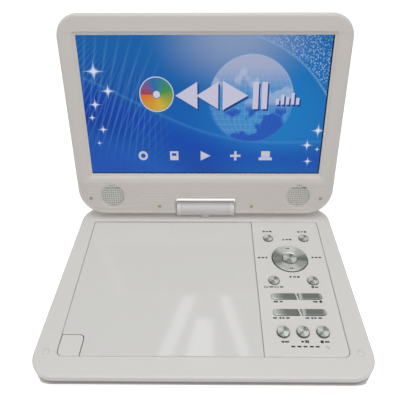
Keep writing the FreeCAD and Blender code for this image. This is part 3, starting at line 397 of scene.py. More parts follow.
def tub_shell():
    """Shell of the lower case, darker than the white plastic as painted shade, with a painted shadow of the
    joint below its rim and a painted lighter band at its foot.
    """
    made = Finish("tub_painted_shade", shade(186, 180, 177), {})
    up = made.along((0, 0, 1))
    # Painted shade: both tones are darker than the white plastic, for the shaded front wall.
    plain = made.mix(made.noise(40), (*shade(180, 175, 172), 1), (*shade(190, 185, 182), 1))
    # Painted light: a lighter band at the foot.
    lit = made.mix(up.below(2.6, 2), plain, (*shade(206, 202, 199), 1))
    # Painted shadow of the joint below the rim.
    made.set("Base Color", made.mix(up.near(18.2, 1.5, 0.8) * 0.8, lit, (*shade(112, 104, 102), 1)))
    made.set("Roughness", 0.38 + made.noise(0.35, 3) * 0.1)
    made.bump(made.noise(0.35, 3), 0.02)
    return made


tub_painted_shade = tub_shell()
board_green = circuit_board()
pickup_glass = clear_lens()
status_glow = indicator_lens()


def bar_metal():
    """Dark silver of the bar keys, with painted highlights towards their left ends, near the middle joint
    and at their right ends.
    """
    made = Finish("bar_silver", shade(150, 154, 150), {"Metallic": 0.7})
    across = made.along((1, 0, 0))
    # Painted highlight: brighter towards the left ends, near the joint of the halves and at the right ends.
    left = made.most(across.below(60, 16), across.near(80.5, 1.6, 3) * 0.7)
    left = made.most(left, across.above(97, 3) * 0.5)
    shine = made.mix(left, (*shade(138, 142, 138), 1), (*shade(244, 246, 242), 1))
    made.set("Base Color", shine)
    made.set("Roughness", 0.3 + made.noise(0.6) * 0.12)
    made.bump(made.noise(0.5), 0.006)
    return made


bar_silver = bar_metal()

UPWARD = Vector((0, math.sin(LEAN), math.cos(LEAN)))
VIEW_MIDDLE = 102.05


class Picture:
    """A flat picture built up in layers over a display. X runs right and Y up from its middle."""

    def __init__(self, made):
        self.made = made
        self.x = made.along((1, 0, 0))
        self.y = made.along(UPWARD) - UPWARD.dot(AXIS) / MM - VIEW_MIDDLE
        self.colour = (*shade(4, 50, 156), 1)

    def over(self, amount, *colour):
        self.colour = self.made.mix(amount, self.colour, (*shade(*colour), 1))

    def reach(self, across, up, squash=1.0):
        """Distance from a point."""
        x = self.x - across
        y = (self.y - up) * squash
        return (x * x + y * y) ** 0.5

    def box(self, across, up, half, rise, soft=0.5):
        return self.x.near(0 + across, half, soft) * self.y.near(0 + up, rise, soft)

    def triangle(self, tip, up, length, rise):
        """A triangle whose tip is at the right of its back edge if its length is positive."""
        along = (tip - self.x) / length
        return (along * rise - abs(self.y - up)).above(0, 0.6) * along.below(1, 0.6 / abs(length))

    def sparkle(self, across, up, size):
        arms = abs(self.x - across) ** 0.4 + abs(self.y - up) ** 0.4
        return arms.below(size ** 0.4, size ** 0.4 * 0.6)


def start_picture():
    """Plain start picture: a blue sky of soft waves and rays, a globe, and signs for playing discs."""
    made = Finish("start_picture", shade(6, 7, 12), {"Emission Strength": 0.86, "Specular IOR Level": 0.18})
    show = Picture(made)
    x, y = show.x, show.y
    clouds = made.noise(60, 1)
    show.over((x * 0.5 + y * 1.0 + clouds * 50).above(0, 150), 22, 104, 178)
    show.over(show.reach(-30, -20, 1.4).below(40, 90) * 0.55, 12, 108, 196)
    show.over(show.reach(62, -10, 1.0).below(52, 76) * 0.7, 24, 134, 208)
    show.over(show.reach(26, 62, 1.5).below(44, 76) * 0.8, 150, 168, 200)
    wave = y + (x / 50 + 1.3).sine() * 13 + x * 0.24
    show.over(wave.near(-26, 12, 26) * 0.6, 8, 62, 176)
    show.over(wave.near(-9, 0.7, 4) * 0.3, 90, 170, 226)
    show.over(wave.below(-52, 26) * 0.45, 34, 112, 206)
    for across, up, count, fade in ((-40, 110, 150, 118), (-130, -120, 120, 150)):
        turn = (y - up).angle(x - across)
        ray = ((turn * count).sine() * 0.5 + 0.5) ** 8
        show.over(ray * show.reach(across, up).near(fade, 34, 40) * x.below(-46, 44) * 0.17, 120, 186, 236)
    globe = show.reach(42, 8, 0.98)
    inside = globe.below(38, 3)
    show.over(inside * 0.28, 120, 186, 230)
    show.over(inside * y.above(26, 30) * 0.6, 196, 190, 212)
    grid_up = ((y - 6) * 0.62).sine()
    bulge = made.most(1 - ((y - 8) / 39) ** 2, 0.06) ** 0.5
    grid_across = ((x - 42) / bulge * 0.55).sine()
    lines = made.most(abs(grid_up).below(0.12, 0.2), abs(grid_across).below(0.12, 0.2))
    show.over(lines * inside * 0.26, 170, 212, 244)
    land = made.noise(30, 3).above(0.55, 0.05)
    show.over(land * inside * y.above(2, 12) * 0.5, 190, 204, 226)
    show.over(land * inside * y.below(2, 12) * 0.85, 22, 74, 186)
    show.over(globe.near(38, 0.3, 1.6) * y.above(8, 20) * 0.5, 206, 222, 240)
    arc = show.reach(10, -52)
    mesh = made.node("TexVoronoi", {}, Vector=made.where, Scale=0.6).below(0.36, 0.2)
    show.over(arc.above(120, 6) * arc.below(150, 30) * mesh * x.above(52, 30) * 0.55, 186, 216, 240)
    show.over(arc.near(119, 0.6, 2) * x.above(40, 30) * 0.4, 150, 196, 236)
    left = (-99, 33, 9), (-88, 16, 7), (-101, 4, 6), (-105, -8, 4), (-96, -19, 5), (-101, -32, 3)
    right = (106, -20, 7), (97, -34, 6), (107, -38, 3), (99, -50, 5)
    for across, up, size in left + right:
        show.over(show.sparkle(across, up, size), 226, 236, 250)
    for shift, drop, *tone in ((1.4, -1.6, 22, 62, 140), (0, 0, 206, 204, 226)):
        up = 12.0 + drop
        back = made.most(show.triangle(-27 + shift, up, -20, 12), show.triangle(-8 + shift, up, -20, 12))
        show.over(made.most(back, show.triangle(39 + shift, up, 23, 13)), *tone)
        bars = made.most(show.box(46 + shift, up, 2.6, 12), show.box(54 + shift, up, 2.6, 12))
        show.over(bars, *tone)
        for step, rise in enumerate((2.6, 4.4, 3.4, 5.2, 3.0)):
            show.over(show.box(66 + step * 4.6 + shift, up - 8 + rise, 1.5, rise), *tone)
    wheel = show.reach(-44, 13)
    turn = (y - 13).angle(x + 44)
    petals = [(0.0, shade(222, 120, 40)), (0.3, shade(214, 180, 60)), (0.55, shade(70, 150, 72)),
              (0.8, shade(40, 110, 180)), (1.0, shade(170, 60, 90))]
    hues = made.node("ValToRGB", {"stops": petals}, turn / math.tau + 0.5)
    show.colour = made.mix(wheel.near(9.2, 5.4, 0.6), show.colour, hues)
    show.over(wheel.below(3.2, 0.6), 214, 214, 230)
    show.over(wheel.near(15.2, 0.4, 0.6), 214, 220, 236)
    low = -44.5
    tone = 204, 204, 214
    show.over(show.reach(-60, low).near(3.4, 1.1, 0.5), *tone)
    show.over(show.box(-30, low, 4.0, 4.4) * (1 - show.box(-30, low + 1.2, 2.2, 1.3)), *tone)
    show.over(show.triangle(5, low, 9.5, 4.8), *tone)
    show.over(made.most(show.box(29, low, 5.0, 1.1), show.box(29, low, 1.1, 4.6)), *tone)
    show.over(made.most(show.box(58, low - 3, 6.4, 1.4), show.box(58, low + 1.6, 4.2, 3.0)), *tone)
    show.over(made.most(x.above(110.1, 0.6), y.below(-61.6, 0.6)), 6, 16, 60)
    made.set("Emission Color", show.colour)
    made.set("Roughness", 0.24 + made.noise(4) * 0.06)
    made.bump(made.noise(0.4), 0.004)
    return made


# ---- Making pieces ----

SHARP = math.radians(32)


def piece(name, solids, place, body, finish, stands_for=()):
    """One mesh from closed solids, fixed to a moving body, with its finish."""
    mesh = bmesh.new()
    for points, faces in solids:
        corners = [mesh.verts.new(place @ point) for point in points]
        for face in faces:
            mesh.faces.new([corners[index] for index in face])
    bmesh.ops.recalc_face_normals(mesh, faces=mesh.faces)
    for edge in mesh.edges:
        edge.smooth = edge.calc_face_angle(0) < SHARP
    for face in mesh.faces:
        face.smooth = True
    data = bpy.data.meshes.new(name)
    mesh.to_mesh(data)
    mesh.free()
    data.materials.append(finish.material)
    made = bpy.data.objects.new(name, data)
    bpy.context.scene.collection.objects.link(made)
    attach(made, body)
    if stands_for:
        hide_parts(*stands_for)
    return made


def extent(node, place=BASE):
    """The lowest and highest corners of a fixed part, measured in the frame it is drawn in."""
    back = place.inverted()
    corners = [back @ vertex.co for vertex in frame["nodes"][node].data.vertices]
    return [Vector([pick(corner[axis] for corner in corners) for axis in range(3)]) for pick in (min, max)]


# ---- Screen ----

screen_low, screen_high = extent("lid_front_bezel", SCREEN)
display_low, display_high = extent("lcd_panel", SCREEN)
SCREEN_HALF = screen_high.x
SCREEN_FOOT = screen_low.y
SCREEN_TOP = screen_high.y
SCREEN_FACE = screen_high.z
LOW_CORNER, HIGH_CORNER = 26.0, 20.0
NOTCH_HALF, NOTCH_TOP = 30.4, 13.3
NOTCH_BORDER = 0.7
VIEW_HALF, VIEW_LOW, VIEW_HIGH = 111.35, 39.4, 164.7
BEVEL_HALF, BEVEL_LOW, BEVEL_HIGH = 114.4, 35.1, 167.5
STRIP_TOP = 29.8
RIB_PITCH = 2.15
RIB_EDGE = (0, 0.5), (0, 0.22), (0.12, 0.08), (0.4, 0)
GRILLE_AT = 93.1, 16.7
GRILLE_RADIUS = 11.75
BUMPERS_AT = (115.5, 13.75), (46.6, 5.1)


def shell_outline(into, notch=0.0):
    """The screen's edge moved inwards, with the hinge notch grown by an amount."""
    half, foot, top = SCREEN_HALF - into, SCREEN_FOOT + into, SCREEN_TOP - into
    corners = [(-half, foot), (half, foot), (half, top), (-half, top)]
    radii = [LOW_CORNER - into] * 2 + [HIGH_CORNER - into] * 2
    outline = rounded(corners, radii, 16)
    side, peak = NOTCH_HALF + notch, NOTCH_TOP + notch
    cut = [Vector(point) for point in ((-side, foot), (-side, peak), (side, peak), (side, foot))]
    return outline[:17] + cut + outline[17:]


def strip_outline(into):
    """The sunk band across the foot of the screen."""
    half, foot, top = SCREEN_HALF - 3.4 - into, SCREEN_FOOT + 3.4 + into, STRIP_TOP - into
    side, peak = NOTCH_HALF + NOTCH_BORDER + into, NOTCH_TOP + NOTCH_BORDER + into
    corner = LOW_CORNER - 3.4 - into
    corners = [(-half, foot), (-side, foot), (-side, peak), (side, peak), (side, foot), (half, foot),
               (half, top), (-half, top)]
    return rounded(corners, [corner, 0.4, 0.6, 0.6, 0.4, corner, 0.5, 0.5], 12)


def window(half, low, high, radius):
    return hole(oblong(-half, low, half, high, radius, 8))


def front_bezel():
    """Hollow front half of the screen, with a stepped bevel round the display and a sunk band below it."""
    face, under = SCREEN_FACE, SCREEN_FACE - 2
    outer = [(shell_outline(into), level) for into, level in [(0, 0), *eased(3.0, face)]]
    cavity = [(hole(shell_outline(2.0, 2.0)), level) for level in (0, under)]
    view = window(VIEW_HALF, VIEW_LOW, VIEW_HIGH, 0.4)
    bevel = [(view, under), (view, 5.25),
             (window(VIEW_HALF + 0.25, VIEW_LOW - 0.25, VIEW_HIGH + 0.25, 0.6), 5.5),
             (window(VIEW_HALF + 0.9, VIEW_LOW - 1.3, VIEW_HIGH + 0.9, 1.2), 5.55),
             (window(BEVEL_HALF - 0.7, BEVEL_LOW + 0.8, BEVEL_HIGH - 0.6, 2.4), 6.45),
             (window(BEVEL_HALF - 0.4, BEVEL_LOW + 0.4, BEVEL_HIGH - 0.35, 2.7), 6.75),
             (window(BEVEL_HALF, BEVEL_LOW, BEVEL_HIGH, 3.0), face)]
    sunk = face - 0.35
    lip = (0, face), (0.15, face - 0.1), (0.2, sunk)
    strip = [(hole(strip_outline(into)), level) for into, level in lip]
    sockets = []
    for side in (-1, 1):
        edges = (0.1, under), (0.1, face - 0.5), (0.3, sunk)
        sockets.append([(hole(circle(GRILLE_RADIUS + grow, side * GRILLE_AT[0], GRILLE_AT[1])), level)
                        for grow, level in edges])
    rims = [outer, cavity, bevel, strip, *sockets]
    caps = [[(0, END), (2, END), (3, START)], [(0, START), (1, START)],
            [(1, END), (2, START), (4, START), (5, START)], [(3, END), (4, END), (5, END)]]
    return skin(rims, caps)


def strip_half_width(up):
    """How far the sunk band reaches to the side at a height."""
    radius = LOW_CORNER - 3.6
    foot = SCREEN_FOOT + 3.6
    fall = max(0.0, foot + radius - up)
    return SCREEN_HALF - 3.6 - radius + math.sqrt(max(0.0, radius ** 2 - fall ** 2))


def ribs():
    """Fine level ribs that fill the band, broken by the notch and the speaker grilles."""
    solids = []
    half = RIB_PITCH / 2 - 0.14
    count = int((STRIP_TOP - SCREEN_FOOT - 4.5) / RIB_PITCH)
    for index in range(count):
        up = STRIP_TOP - 0.4 - RIB_PITCH * (index + 0.5)
        reach = min(strip_half_width(up - half), strip_half_width(up + half)) - 0.3
        inner = NOTCH_HALF + 1.1 if up - half < NOTCH_TOP + 1.1 else 0.0
        clear = abs(up - GRILLE_AT[1]) - half
        gap = math.sqrt(max(0.0, (GRILLE_RADIUS + 0.9) ** 2 - max(0.0, clear) ** 2))
        spans = [(inner, GRILLE_AT[0] - gap), (GRILLE_AT[0] + gap, reach)] if gap else [(inner, reach)]
        if inner == 0.0:
            spans = [(-spans[0][1], spans[0][1])] + spans[1:]
        for left, right in spans:
            if right - left < 1:
                continue
            sides = (1,) if left == -right else (-1, 1)
            for side in sides:
                low, high = sorted((side * left, side * right))
                outline = oblong(low, up - half, high, up + half, 0.2, 3)
                solids.append(plate(wall(outline, *((into, SCREEN_FACE - drop) for into, drop in RIB_EDGE))))
    return solids


def grille(side):
    """Round plate with a grid of square holes."""
    across, up = side * GRILLE_AT[0], GRILLE_AT[1]
    top = SCREEN_FACE - 0.1
    rims = [wall(circle(GRILLE_RADIUS, across, up, 72), (0, top - 1.6), *eased(0.3, top))]
    pitch, half = 2.15, 0.62
    for column in range(-5, 6):
        for row in range(-5, 6):
            if math.hypot(column, row) * pitch > 11.0:
                continue
            x, y = across + column * pitch, up + row * pitch
            opening = hole(oblong(x - half, y - half, x + half, y + half, 0.22, 2))
            rims.append(wall(opening, (0, top - 1.6), (0, top - 0.15), (0.12, top)))
    return plate(*rims)


def cloth(side):
    """Thin cloth behind the holes of a grille."""
    low = SCREEN_FACE - 1.98
    return turned([(11.6, low), (11.6, low + 0.26)], side * GRILLE_AT[0], GRILLE_AT[1])


def screen_pieces():
    piece("screen_bezel", [front_bezel()], SCREEN, "screen", bezel_shaded_white,
          ["lid_front_bezel"])
    piece("screen_ribs", ribs(), SCREEN, "screen", bezel_shaded_white)
    for side, name in ((-1, "speaker_grille_left"), (1, "speaker_grille_right")):
        piece(name, [grille(side)], SCREEN, "screen", grille_grey, ["speaker_grilles"])
    piece("grille_cloth", [cloth(-1), cloth(1)], SCREEN, "screen", cloth_grey)
    glass = oblong(display_low.x, display_low.y, display_high.x, display_high.y, 1.0, 3)
    display = plate(wall(glass, (0, display_low.z), *eased(0.2, display_high.z)))
    shown = piece("display_picture", [display], SCREEN, "screen", start_picture(), ["lcd_panel"])
    shown.visible_glossy = False
    shown.visible_diffuse = False
    pads = []
    for across, up in BUMPERS_AT:
        for side in (-1, 1):
            middle = side * across
            square = oblong(middle - 1.4, up - 1.4, middle + 1.4, up + 1.4, 0.5, 4)
            pads.append(plate(wall(square, (0, SCREEN_FACE - 0.6), *eased(0.35, SCREEN_FACE + 0.75))))
    piece("screen_bumper_pads", pads, SCREEN, "screen", bumper_amber, ["screen_bumpers"])


def cap_ring(side):
    """End cap of the hinge barrel: a bright rim, two fine grooves and a plug inside the barrel."""
    low, high = extent("hinge_end_caps")
    outer = (high.z - low.z) / 2
    end = high.x
    start = end - 4.9
    plug, groove = outer - 1.9, outer - 0.22
    steps = [(start - 3.0, plug - 0.05), (start, plug + 0.05), (start + 0.02, outer)]
    for back in (2.9, 1.5):
        steps += [(end - back, outer), (end - back + 0.1, groove), (end - back + 0.3, groove),
                  (end - back + 0.4, outer)]
    steps += [(end - 0.5, outer - 0.04), (end - 0.15, outer - 0.3), (end, outer - 0.7)]
    rim = [(circle(radius), level) for level, radius in steps]
    bore = [(hole(circle(1.75)), level) for level in (start - 3.0, end)]
    turn = Matrix.Rotation(side * math.pi / 2, 4, "Y")
    return placed(plate(rim, bore), Matrix.Translation((0, 0, (low.z + high.z) / 2)) @ turn)


# ---- Base top ----

frame_low, frame_high = extent("top_case")
COVER_TOP = extent("control_panel")[1].z
BASE_TAPER = 2.1
BASE_CORNER = 20
COLUMN_HOLE = 6.6
LEDGE, LEDGE_WIDTH = 21.0, 3
PIN_FRONT = -16.6
PIN_AT = -13.6, 21.3
RELEASE_SIDE, RELEASE_BACK = -91.1, -143.9
WELL_AT = -32, -85.7
KNUCKLE = 13.7
CATCH = -97.4, -94.4
SEAM = 0.3
LID_BACK = -12.6
RECESS_FRONT, RECESS_BACK = -162.7, -11.6
RECESS_FRONT_HALF, RECESS_BACK_HALF = 108.5, 113.5
SPLIT_FRONT, SPLIT_BACK = 45.1, 46.8
KEY_GAP = 0.25
FLANGE = 0.9
MIDDLE_REACH = 6.65
STEM, SWITCH, SKIRT = 1.6, 19.5, 20.0


def top_frame():
    """Frame round the covers: a soft outer edge, a crisp recess and a ledge broken by one long opening."""
    low, top, front, back = frame_low.z, frame_high.z, frame_low.y, frame_high.y
    near, far = frame_high.x - BASE_TAPER, frame_high.x
    outline = rounded([(-near, front), (near, front), (far, back), (-far, back)], [BASE_CORNER] * 4, 20)
    recess = rounded([(-RECESS_FRONT_HALF, RECESS_FRONT), (RECESS_FRONT_HALF, RECESS_FRONT),
                      (RECESS_BACK_HALF, RECESS_BACK), (-RECESS_BACK_HALF, RECESS_BACK)], (5, 5, 4, 0.4), 8)
    ledge = RECESS_FRONT + LEDGE_WIDTH
    side_front, side_back = RECESS_FRONT_HALF - LEDGE_WIDTH, RECESS_BACK_HALF - LEDGE_WIDTH
    panel_side, panel_back = SPLIT_BACK + 2 * LEDGE_WIDTH, RECESS_BACK - LEDGE_WIDTH
    pin_side, pin_back = RECESS_BACK_HALF - 0.1, RECESS_BACK - 0.1
    under = [Vector(corner) for corner in (
        (-side_front, ledge), (SPLIT_FRONT - LEDGE_WIDTH, ledge), (SPLIT_BACK - LEDGE_WIDTH, PIN_FRONT),
        (SPLIT_BACK + LEDGE_WIDTH, PIN_FRONT), (SPLIT_FRONT + LEDGE_WIDTH, ledge), (side_front, ledge),
        (side_back, panel_back), (panel_side, panel_back), (panel_side, pin_back),
        (-pin_side, pin_back), (-pin_side, PIN_FRONT), (-side_back, PIN_FRONT))]
    rims = [wall(outline, (0, low), *eased(1.8, top)), wall(hole(recess), (0, LEDGE), *eased(0.95, top)),
            wall(hole(under), (0, low), (0, LEDGE)),
            wall(hole(circle(COLUMN_HOLE)), (0, low), *eased(0.4, top))]
    caps = [[(0, END), (1, END), (3, END)], [(1, START), (2, END)], [(0, START), (2, START), (3, START)]]
    return skin(rims, caps)


def lid_outline():
    """The disc lid's edge, with a corner left out for the release key."""
    front = RECESS_FRONT + SEAM
    left = RECESS_BACK_HALF - SEAM / 2, RECESS_FRONT_HALF + 0.5
    corners = [(RELEASE_SIDE, front), (SPLIT_FRONT - SEAM, front), (SPLIT_BACK - SEAM, LID_BACK),
               (-left[0], LID_BACK), (-left[1], RELEASE_BACK), (RELEASE_SIDE, RELEASE_BACK)]
    return rounded(corners, (0.5, 0.5, 0.3, 0.3, 0.6, 4.6), 8)


def disc_cover():
    """Glossy lid, with the barrel of its hinge at the back, a stiffening ring below and the catch."""
    low = COVER_TOP - 1.8
    top = plate(wall(lid_outline(), (0.15, low), (0, low + 0.15), *eased(0.3, COVER_TOP)))
    turn = Matrix.Translation((0, *PIN_AT)) @ LYING
    knuckles = []
    for start in (SEAM - RECESS_BACK_HALF, SPLIT_BACK - SEAM - KNUCKLE):
        end = start + KNUCKLE
        barrel = [(circle(radius, count=32), level) for radius, level in (
            (1.5, start), (1.7, start + 0.2), (1.7, end - 0.2), (1.5, end))]
        bore = [(hole(circle(0.86, count=32)), level) for level in (start, end)]
        knuckles.append(placed(plate(barrel, bore), turn))
    left, right = CATCH
    catch = block(left, -143.6, 16.7, right, -142.4, low + 0.1, 0.15)
    foot = block(left, -144.6, 16.6, right, -142.5, 17.4, 0.15)
    ring = [wall(outline, (0, low - 0.5), (0, low + 0.05))
            for outline in (circle(60.2, *WELL_AT, 96), hole(circle(59.0, *WELL_AT, 96)))]
    return [top, *knuckles, catch, foot, plate(*ring)]


def release():
    """Corner key that frees the disc lid, with its stem."""
    front = RECESS_FRONT + SEAM
    side, back = RELEASE_SIDE - 2 * SEAM, RELEASE_BACK - 2 * SEAM
    corners = [(SEAM - RECESS_FRONT_HALF, front), (side, front), (side, back), (-RECESS_FRONT_HALF, back)]
    outline = rounded(corners, (4.7, 0.5, 4.0, 0.5), 8)
    low = COVER_TOP - 0.8
    cap = plate(wall(outline, (0.1, low), (0, low + 0.1), *eased(0.25, COVER_TOP)))
    return [cap, block(-104.6, -158.6, 17.0, -99.6, -148.0, low + 0.05, 0.3)]


def middle_of(node):
    low, high = extent(node)
    return (low.x + high.x) / 2, (low.y + high.y) / 2


ROUND_KEYS = ("mode", "source", "display", "search", "back", "play", "stop")
BARS = (("volume_down", -1), ("volume_up", 1), ("skip_back", -1), ("skip_forward", 1))


def key_place(node):
    """A key's middle, the radius of its cap and its top."""
    low, high = extent(node)
    return *middle_of(node), (high.x - low.x) / 2 - FLANGE, high.z


def bar_outline(name, side, grow):
    """One half of a bar: round at its outer end and slanted at the end that meets the other half."""
    low, high = extent(name + "_key")
    middle, half = (low.y + high.y) / 2, (high.y - low.y) / 2 - 1.05 + grow
    outer = low.x + 0.6 - grow if side < 0 else high.x - 0.6 + grow
    inner = 78 + side * (1 - grow)
    front, back = middle - half, middle + half
    if side < 0:
        corners = [(outer, front), (inner + 0.6, front), (inner - 0.6, back), (outer, back)]
        return rounded(corners, (2.6, 0.3, 0.3, 2.6), 6)
    corners = [(inner + 0.6, front), (outer, front), (outer, back), (inner - 0.6, back)]
    return rounded(corners, (0.3, 2.6, 2.6, 0.3), 6)


def key_panel():
    """Panel of keys, with an eased opening for each."""
    corners = [(SPLIT_FRONT + SEAM, RECESS_FRONT + SEAM), (RECESS_FRONT_HALF - SEAM, RECESS_FRONT + SEAM),
               (RECESS_BACK_HALF - SEAM, RECESS_BACK - SEAM), (SPLIT_BACK + SEAM, RECESS_BACK - SEAM)]
    outline = rounded(corners, (0.5, 4.7, 3.7, 0.5), 8)
    rims = [wall(outline, (0, LEDGE), *eased(0.3, COVER_TOP))]
    for name in ROUND_KEYS:
        across, along, radius = key_place(name + "_button")[:3]
        opening = hole(circle(radius + KEY_GAP, across, along, 48))
        rims.append(wall(opening, (0, LEDGE), *eased(0.12, COVER_TOP)))
    pad = circle(PAD_REACH + 0.4, *PAD_AT, 96)
    rims.append(wall(hole(pad), (0, LEDGE), *eased(0.2, COVER_TOP)))
    for name, side in BARS:
        rims.append(wall(hole(bar_outline(name, side, KEY_GAP)), (0, LEDGE), *eased(0.12, COVER_TOP)))
    rims.append(wall(hole(circle(1.3, *LAMP_AT, 32)), (0, LEDGE), *eased(0.1, COVER_TOP)))
    return [plate(*rims), block(SPLIT_BACK + SEAM, -15.8, 19.7, SPLIT_BACK + 5, -11.9, LEDGE + 0.05, 0.2)]


PAD_AT = middle_of("direction_pad")
LAMP_AT = middle_of("status_lens")
PAD_REACH = extent("direction_pad")[1].x - PAD_AT[0]


def round_button(name):
    across, along, radius, top = key_place(name + "_button")
    skirt = radius + FLANGE
    profile = [(STEM, SWITCH), (STEM, SKIRT), (skirt, SKIRT), (skirt, 20.75), (radius, 20.8)]
    profile += [(radius - into, level) for into, level in eased(0.45, top - 0.12)]
    profile += [(radius * 0.6, top - 0.03), (0.2, top)]
    return turned(profile, across, along, 64)


def pad_ring():
    """Ring that rocks four ways: a rolled outer edge and a face that dips to the middle key."""
    low, high = extent("direction_pad")
    top = high.z
    rim = [(PAD_REACH, low.z), *((PAD_REACH - into, level) for into, level in eased(0.6, top)),
           (PAD_REACH - 1.6, top - 0.02), (PAD_REACH - 5.2, top - 0.5), (7.9, top - 0.62)]
    face = [(circle(radius, *PAD_AT, 96), level) for radius, level in rim]
    well = [(hole(circle(radius, *PAD_AT, 96)), level) for radius, level in (
        (14.0, low.z), (14.0, 21.6), (6.9, 21.6), (6.9, top - 0.85), (7.2, top - 0.66))]
    return plate(face, well)


def middle_button():
    """Domed key in the middle of the ring."""
    top = extent("enter_button")[1].z
    profile = [(STEM, SWITCH), (STEM, SKIRT), (7.5, SKIRT), (7.5, 20.6), (MIDDLE_REACH, 20.6)]
    profile += [(MIDDLE_REACH - into, level) for into, level in eased(0.4, top - 0.4)]
    profile += [(4.5, top - 0.2), (2.5, top - 0.05), (0.2, top)]
    return turned(profile, *PAD_AT, 72)


def bar_button(name, side):
    """Half of a bar key: its cap, the skirt that holds it in and a foot for its switch."""
    low, high = extent(name + "_key")
    outline = bar_outline(name, side, 0)
    flange = oblong(outline_low(outline, 0) - 0.6, low.y, outline_high(outline, 0) + 0.5, high.y, 0.3, 3)
    cap = plate(wall(outline, (0, 20.7), *eased(0.5, high.z)))
    skirt = plate(wall(flange, (0, SKIRT), (0, 20.8)))
    stem = turned([(STEM, SWITCH), (STEM, SKIRT + 0.1)], *middle_of(name + "_key"), 24)
    return [cap, skirt, stem]


def outline_low(outline, axis):
    return min(point[axis] for point in outline)


def outline_high(outline, axis):
    return max(point[axis] for point in outline)


def base_bumper(side):
    """Low round bumper that meets the screen when it shuts."""
    low, high = extent("base_bumpers")
    radius = 2.75
    profile = [(radius, low.z - 0.3), (radius, low.z + 0.15), (radius - 0.12, low.z + 0.35),
               (radius - 0.5, high.z - 0.2), (radius - 1.1, high.z - 0.06), (0.2, high.z)]
    return turned(profile, side * (high.x - radius), (low.y + high.y) / 2, 40)


def status_window():
    low, high = extent("status_lens")
    radius = (high.x - low.x) / 2
    profile = [(radius, low.z), (radius, high.z - 0.35), (radius - 0.3, high.z - 0.12), (0.1, high.z)]
    return turned(profile, *LAMP_AT, 32)


# ---- Printed marks ----

INK = 0.03
STROKE = 0.62


def printed(outline, *openings):
    rims = [wall(outline, (0, COVER_TOP - 0.05), (0, COVER_TOP + INK))]
    rims += [wall(hole(opening), (0, COVER_TOP - 0.05), (0, COVER_TOP + INK)) for opening in openings]
    return plate(*rims)


def dash(across, along, half, rise=STROKE):
    corner = min(half, rise) * 0.6
    return printed(oblong(across - half, along - rise, across + half, along + rise, corner, 2))


def square(across, along, half):
    return printed(oblong(across - half, along - half, across + half, along + half, 0.15, 2))


def arrow(across, along, reach, turn):
    """A filled triangle that points in a direction, in degrees from the right."""
    corners = []
    for step in (0, 130, 230):
        angle = math.radians(turn + step)
        corners.append((across + reach * math.cos(angle), along + reach * math.sin(angle)))
    return printed(rounded(corners, (0.12, 0.12, 0.12), 2))


def ringlet(across, along, radius):
    return printed(circle(radius, across, along, 24), circle(radius * 0.3, across, along, 24))


def screen_sign(across, along):
    outer = oblong(across - 1.7, along - 1.0, across + 1.7, along + 1.0, 0.3, 2)
    inner = oblong(across - 1.3, along - 0.62, across + 1.3, along + 0.62, 0.2, 2)
    return printed(outer, inner)


def beside(node, away):
    across, along = middle_of(node)
    return across, along + away


def signs(place, *row):
    """Signs in a row: each is (how it is made, its shift, its sizes)."""
    across, along = place
    return [make(across + shift, along, *sizes) for make, shift, *sizes in row]


def panel_marks():
    """Small plain signs beside the keys, in place of words."""
    marks = []
    for key, away in (("mode_button", 10.1), ("source_button", 9.5)):
        marks += signs(beside(key, away), (ringlet, -3.4, 1.2), (dash, 0, 1.3), (square, 3.2, 1.05))
    for away, turn in ((25.6, 90), (-22.2, 270)):
        marks += signs(beside("direction_pad", away), (arrow, -2.6, 1.5, turn), (dash, 1.0, 1.5),
                       (square, 4.3, 0.95))
    for side, away, turn in ((-1, 1.3, 180), (1, 1.6, 0)):
        marks += signs(beside("direction_pad", away), (arrow, side * 28.4, 1.6, turn),
                       (dash, side * 24.8, 1.5), (square, side * 21.4, 0.85))
    marks += signs(beside("display_button", -7.2), (screen_sign, -7.6), (dash, -3.2, 1.8),
                   (screen_sign, 1.2), (dash, 5.6, 1.6))
    marks += signs(beside("search_button", -6.8), (ringlet, -1.4, 1.25))
    marks += signs(beside("search_button", -7.0), (dash, 1.8, 1.4))
    for (name, side), across in zip(BARS, (61.1, 93.9, 62.4, 88.2)):
        place = across, middle_of(name + "_key")[1] - 5.3
        if name.startswith("volume"):
            marks += signs(place, (dash, 3.0, 1.3))
            if side > 0:
                marks += signs(place, (dash, 3.0, STROKE, 1.3))
            marks += signs(place, (arrow, -2.6, 1.4, 180), (square, -0.6, 0.8))
        else:
            turn = 90 - side * 90
            marks += signs(place, (arrow, -1.3, 1.4, turn), (arrow, 1.1, 1.4, turn), (dash, -5.4, 1.5),
                           (dash, 4.8, 1.5))
    marks += signs(beside("back_button", -8.2), (arrow, -1.6, 1.5, 180), (dash, 1.6, 1.8))
    marks += signs(beside("play_button", -8.0), (arrow, -1.6, 1.5, 0), (dash, 0.9, STROKE, 1.2),
                   (dash, 2.4, STROKE, 1.2))
    dashes = ((dash, shift, 1.5) for shift in (-9.4, -4.9, -0.4, 4.4, 8.8))
    marks += signs(beside("play_button", -12.2), *dashes)
    marks += signs(beside("stop_button", -8.1), (square, -2.4, 1.15), (dash, 1.4, 1.8))
    return marks


def pad_marks():
    """Two small signs on the ring, at its far and near sides."""
    top = extent("direction_pad")[1].z
    marks = []
    for away in (-1, 1):
        for shift in (-1.0, 0.6):
            corners = [(PAD_AT[0] + shift + reach, PAD_AT[1] + away * 12.6 + rise)
                       for reach, rise in ((-0.6, -0.8), (0.8, 0), (-0.6, 0.8))]
            outline = rounded(corners, (0.1, 0.1, 0.1), 2)
            marks.append(plate(wall(outline, (0, top - 0.5), (0, top - 0.12))))
    return marks


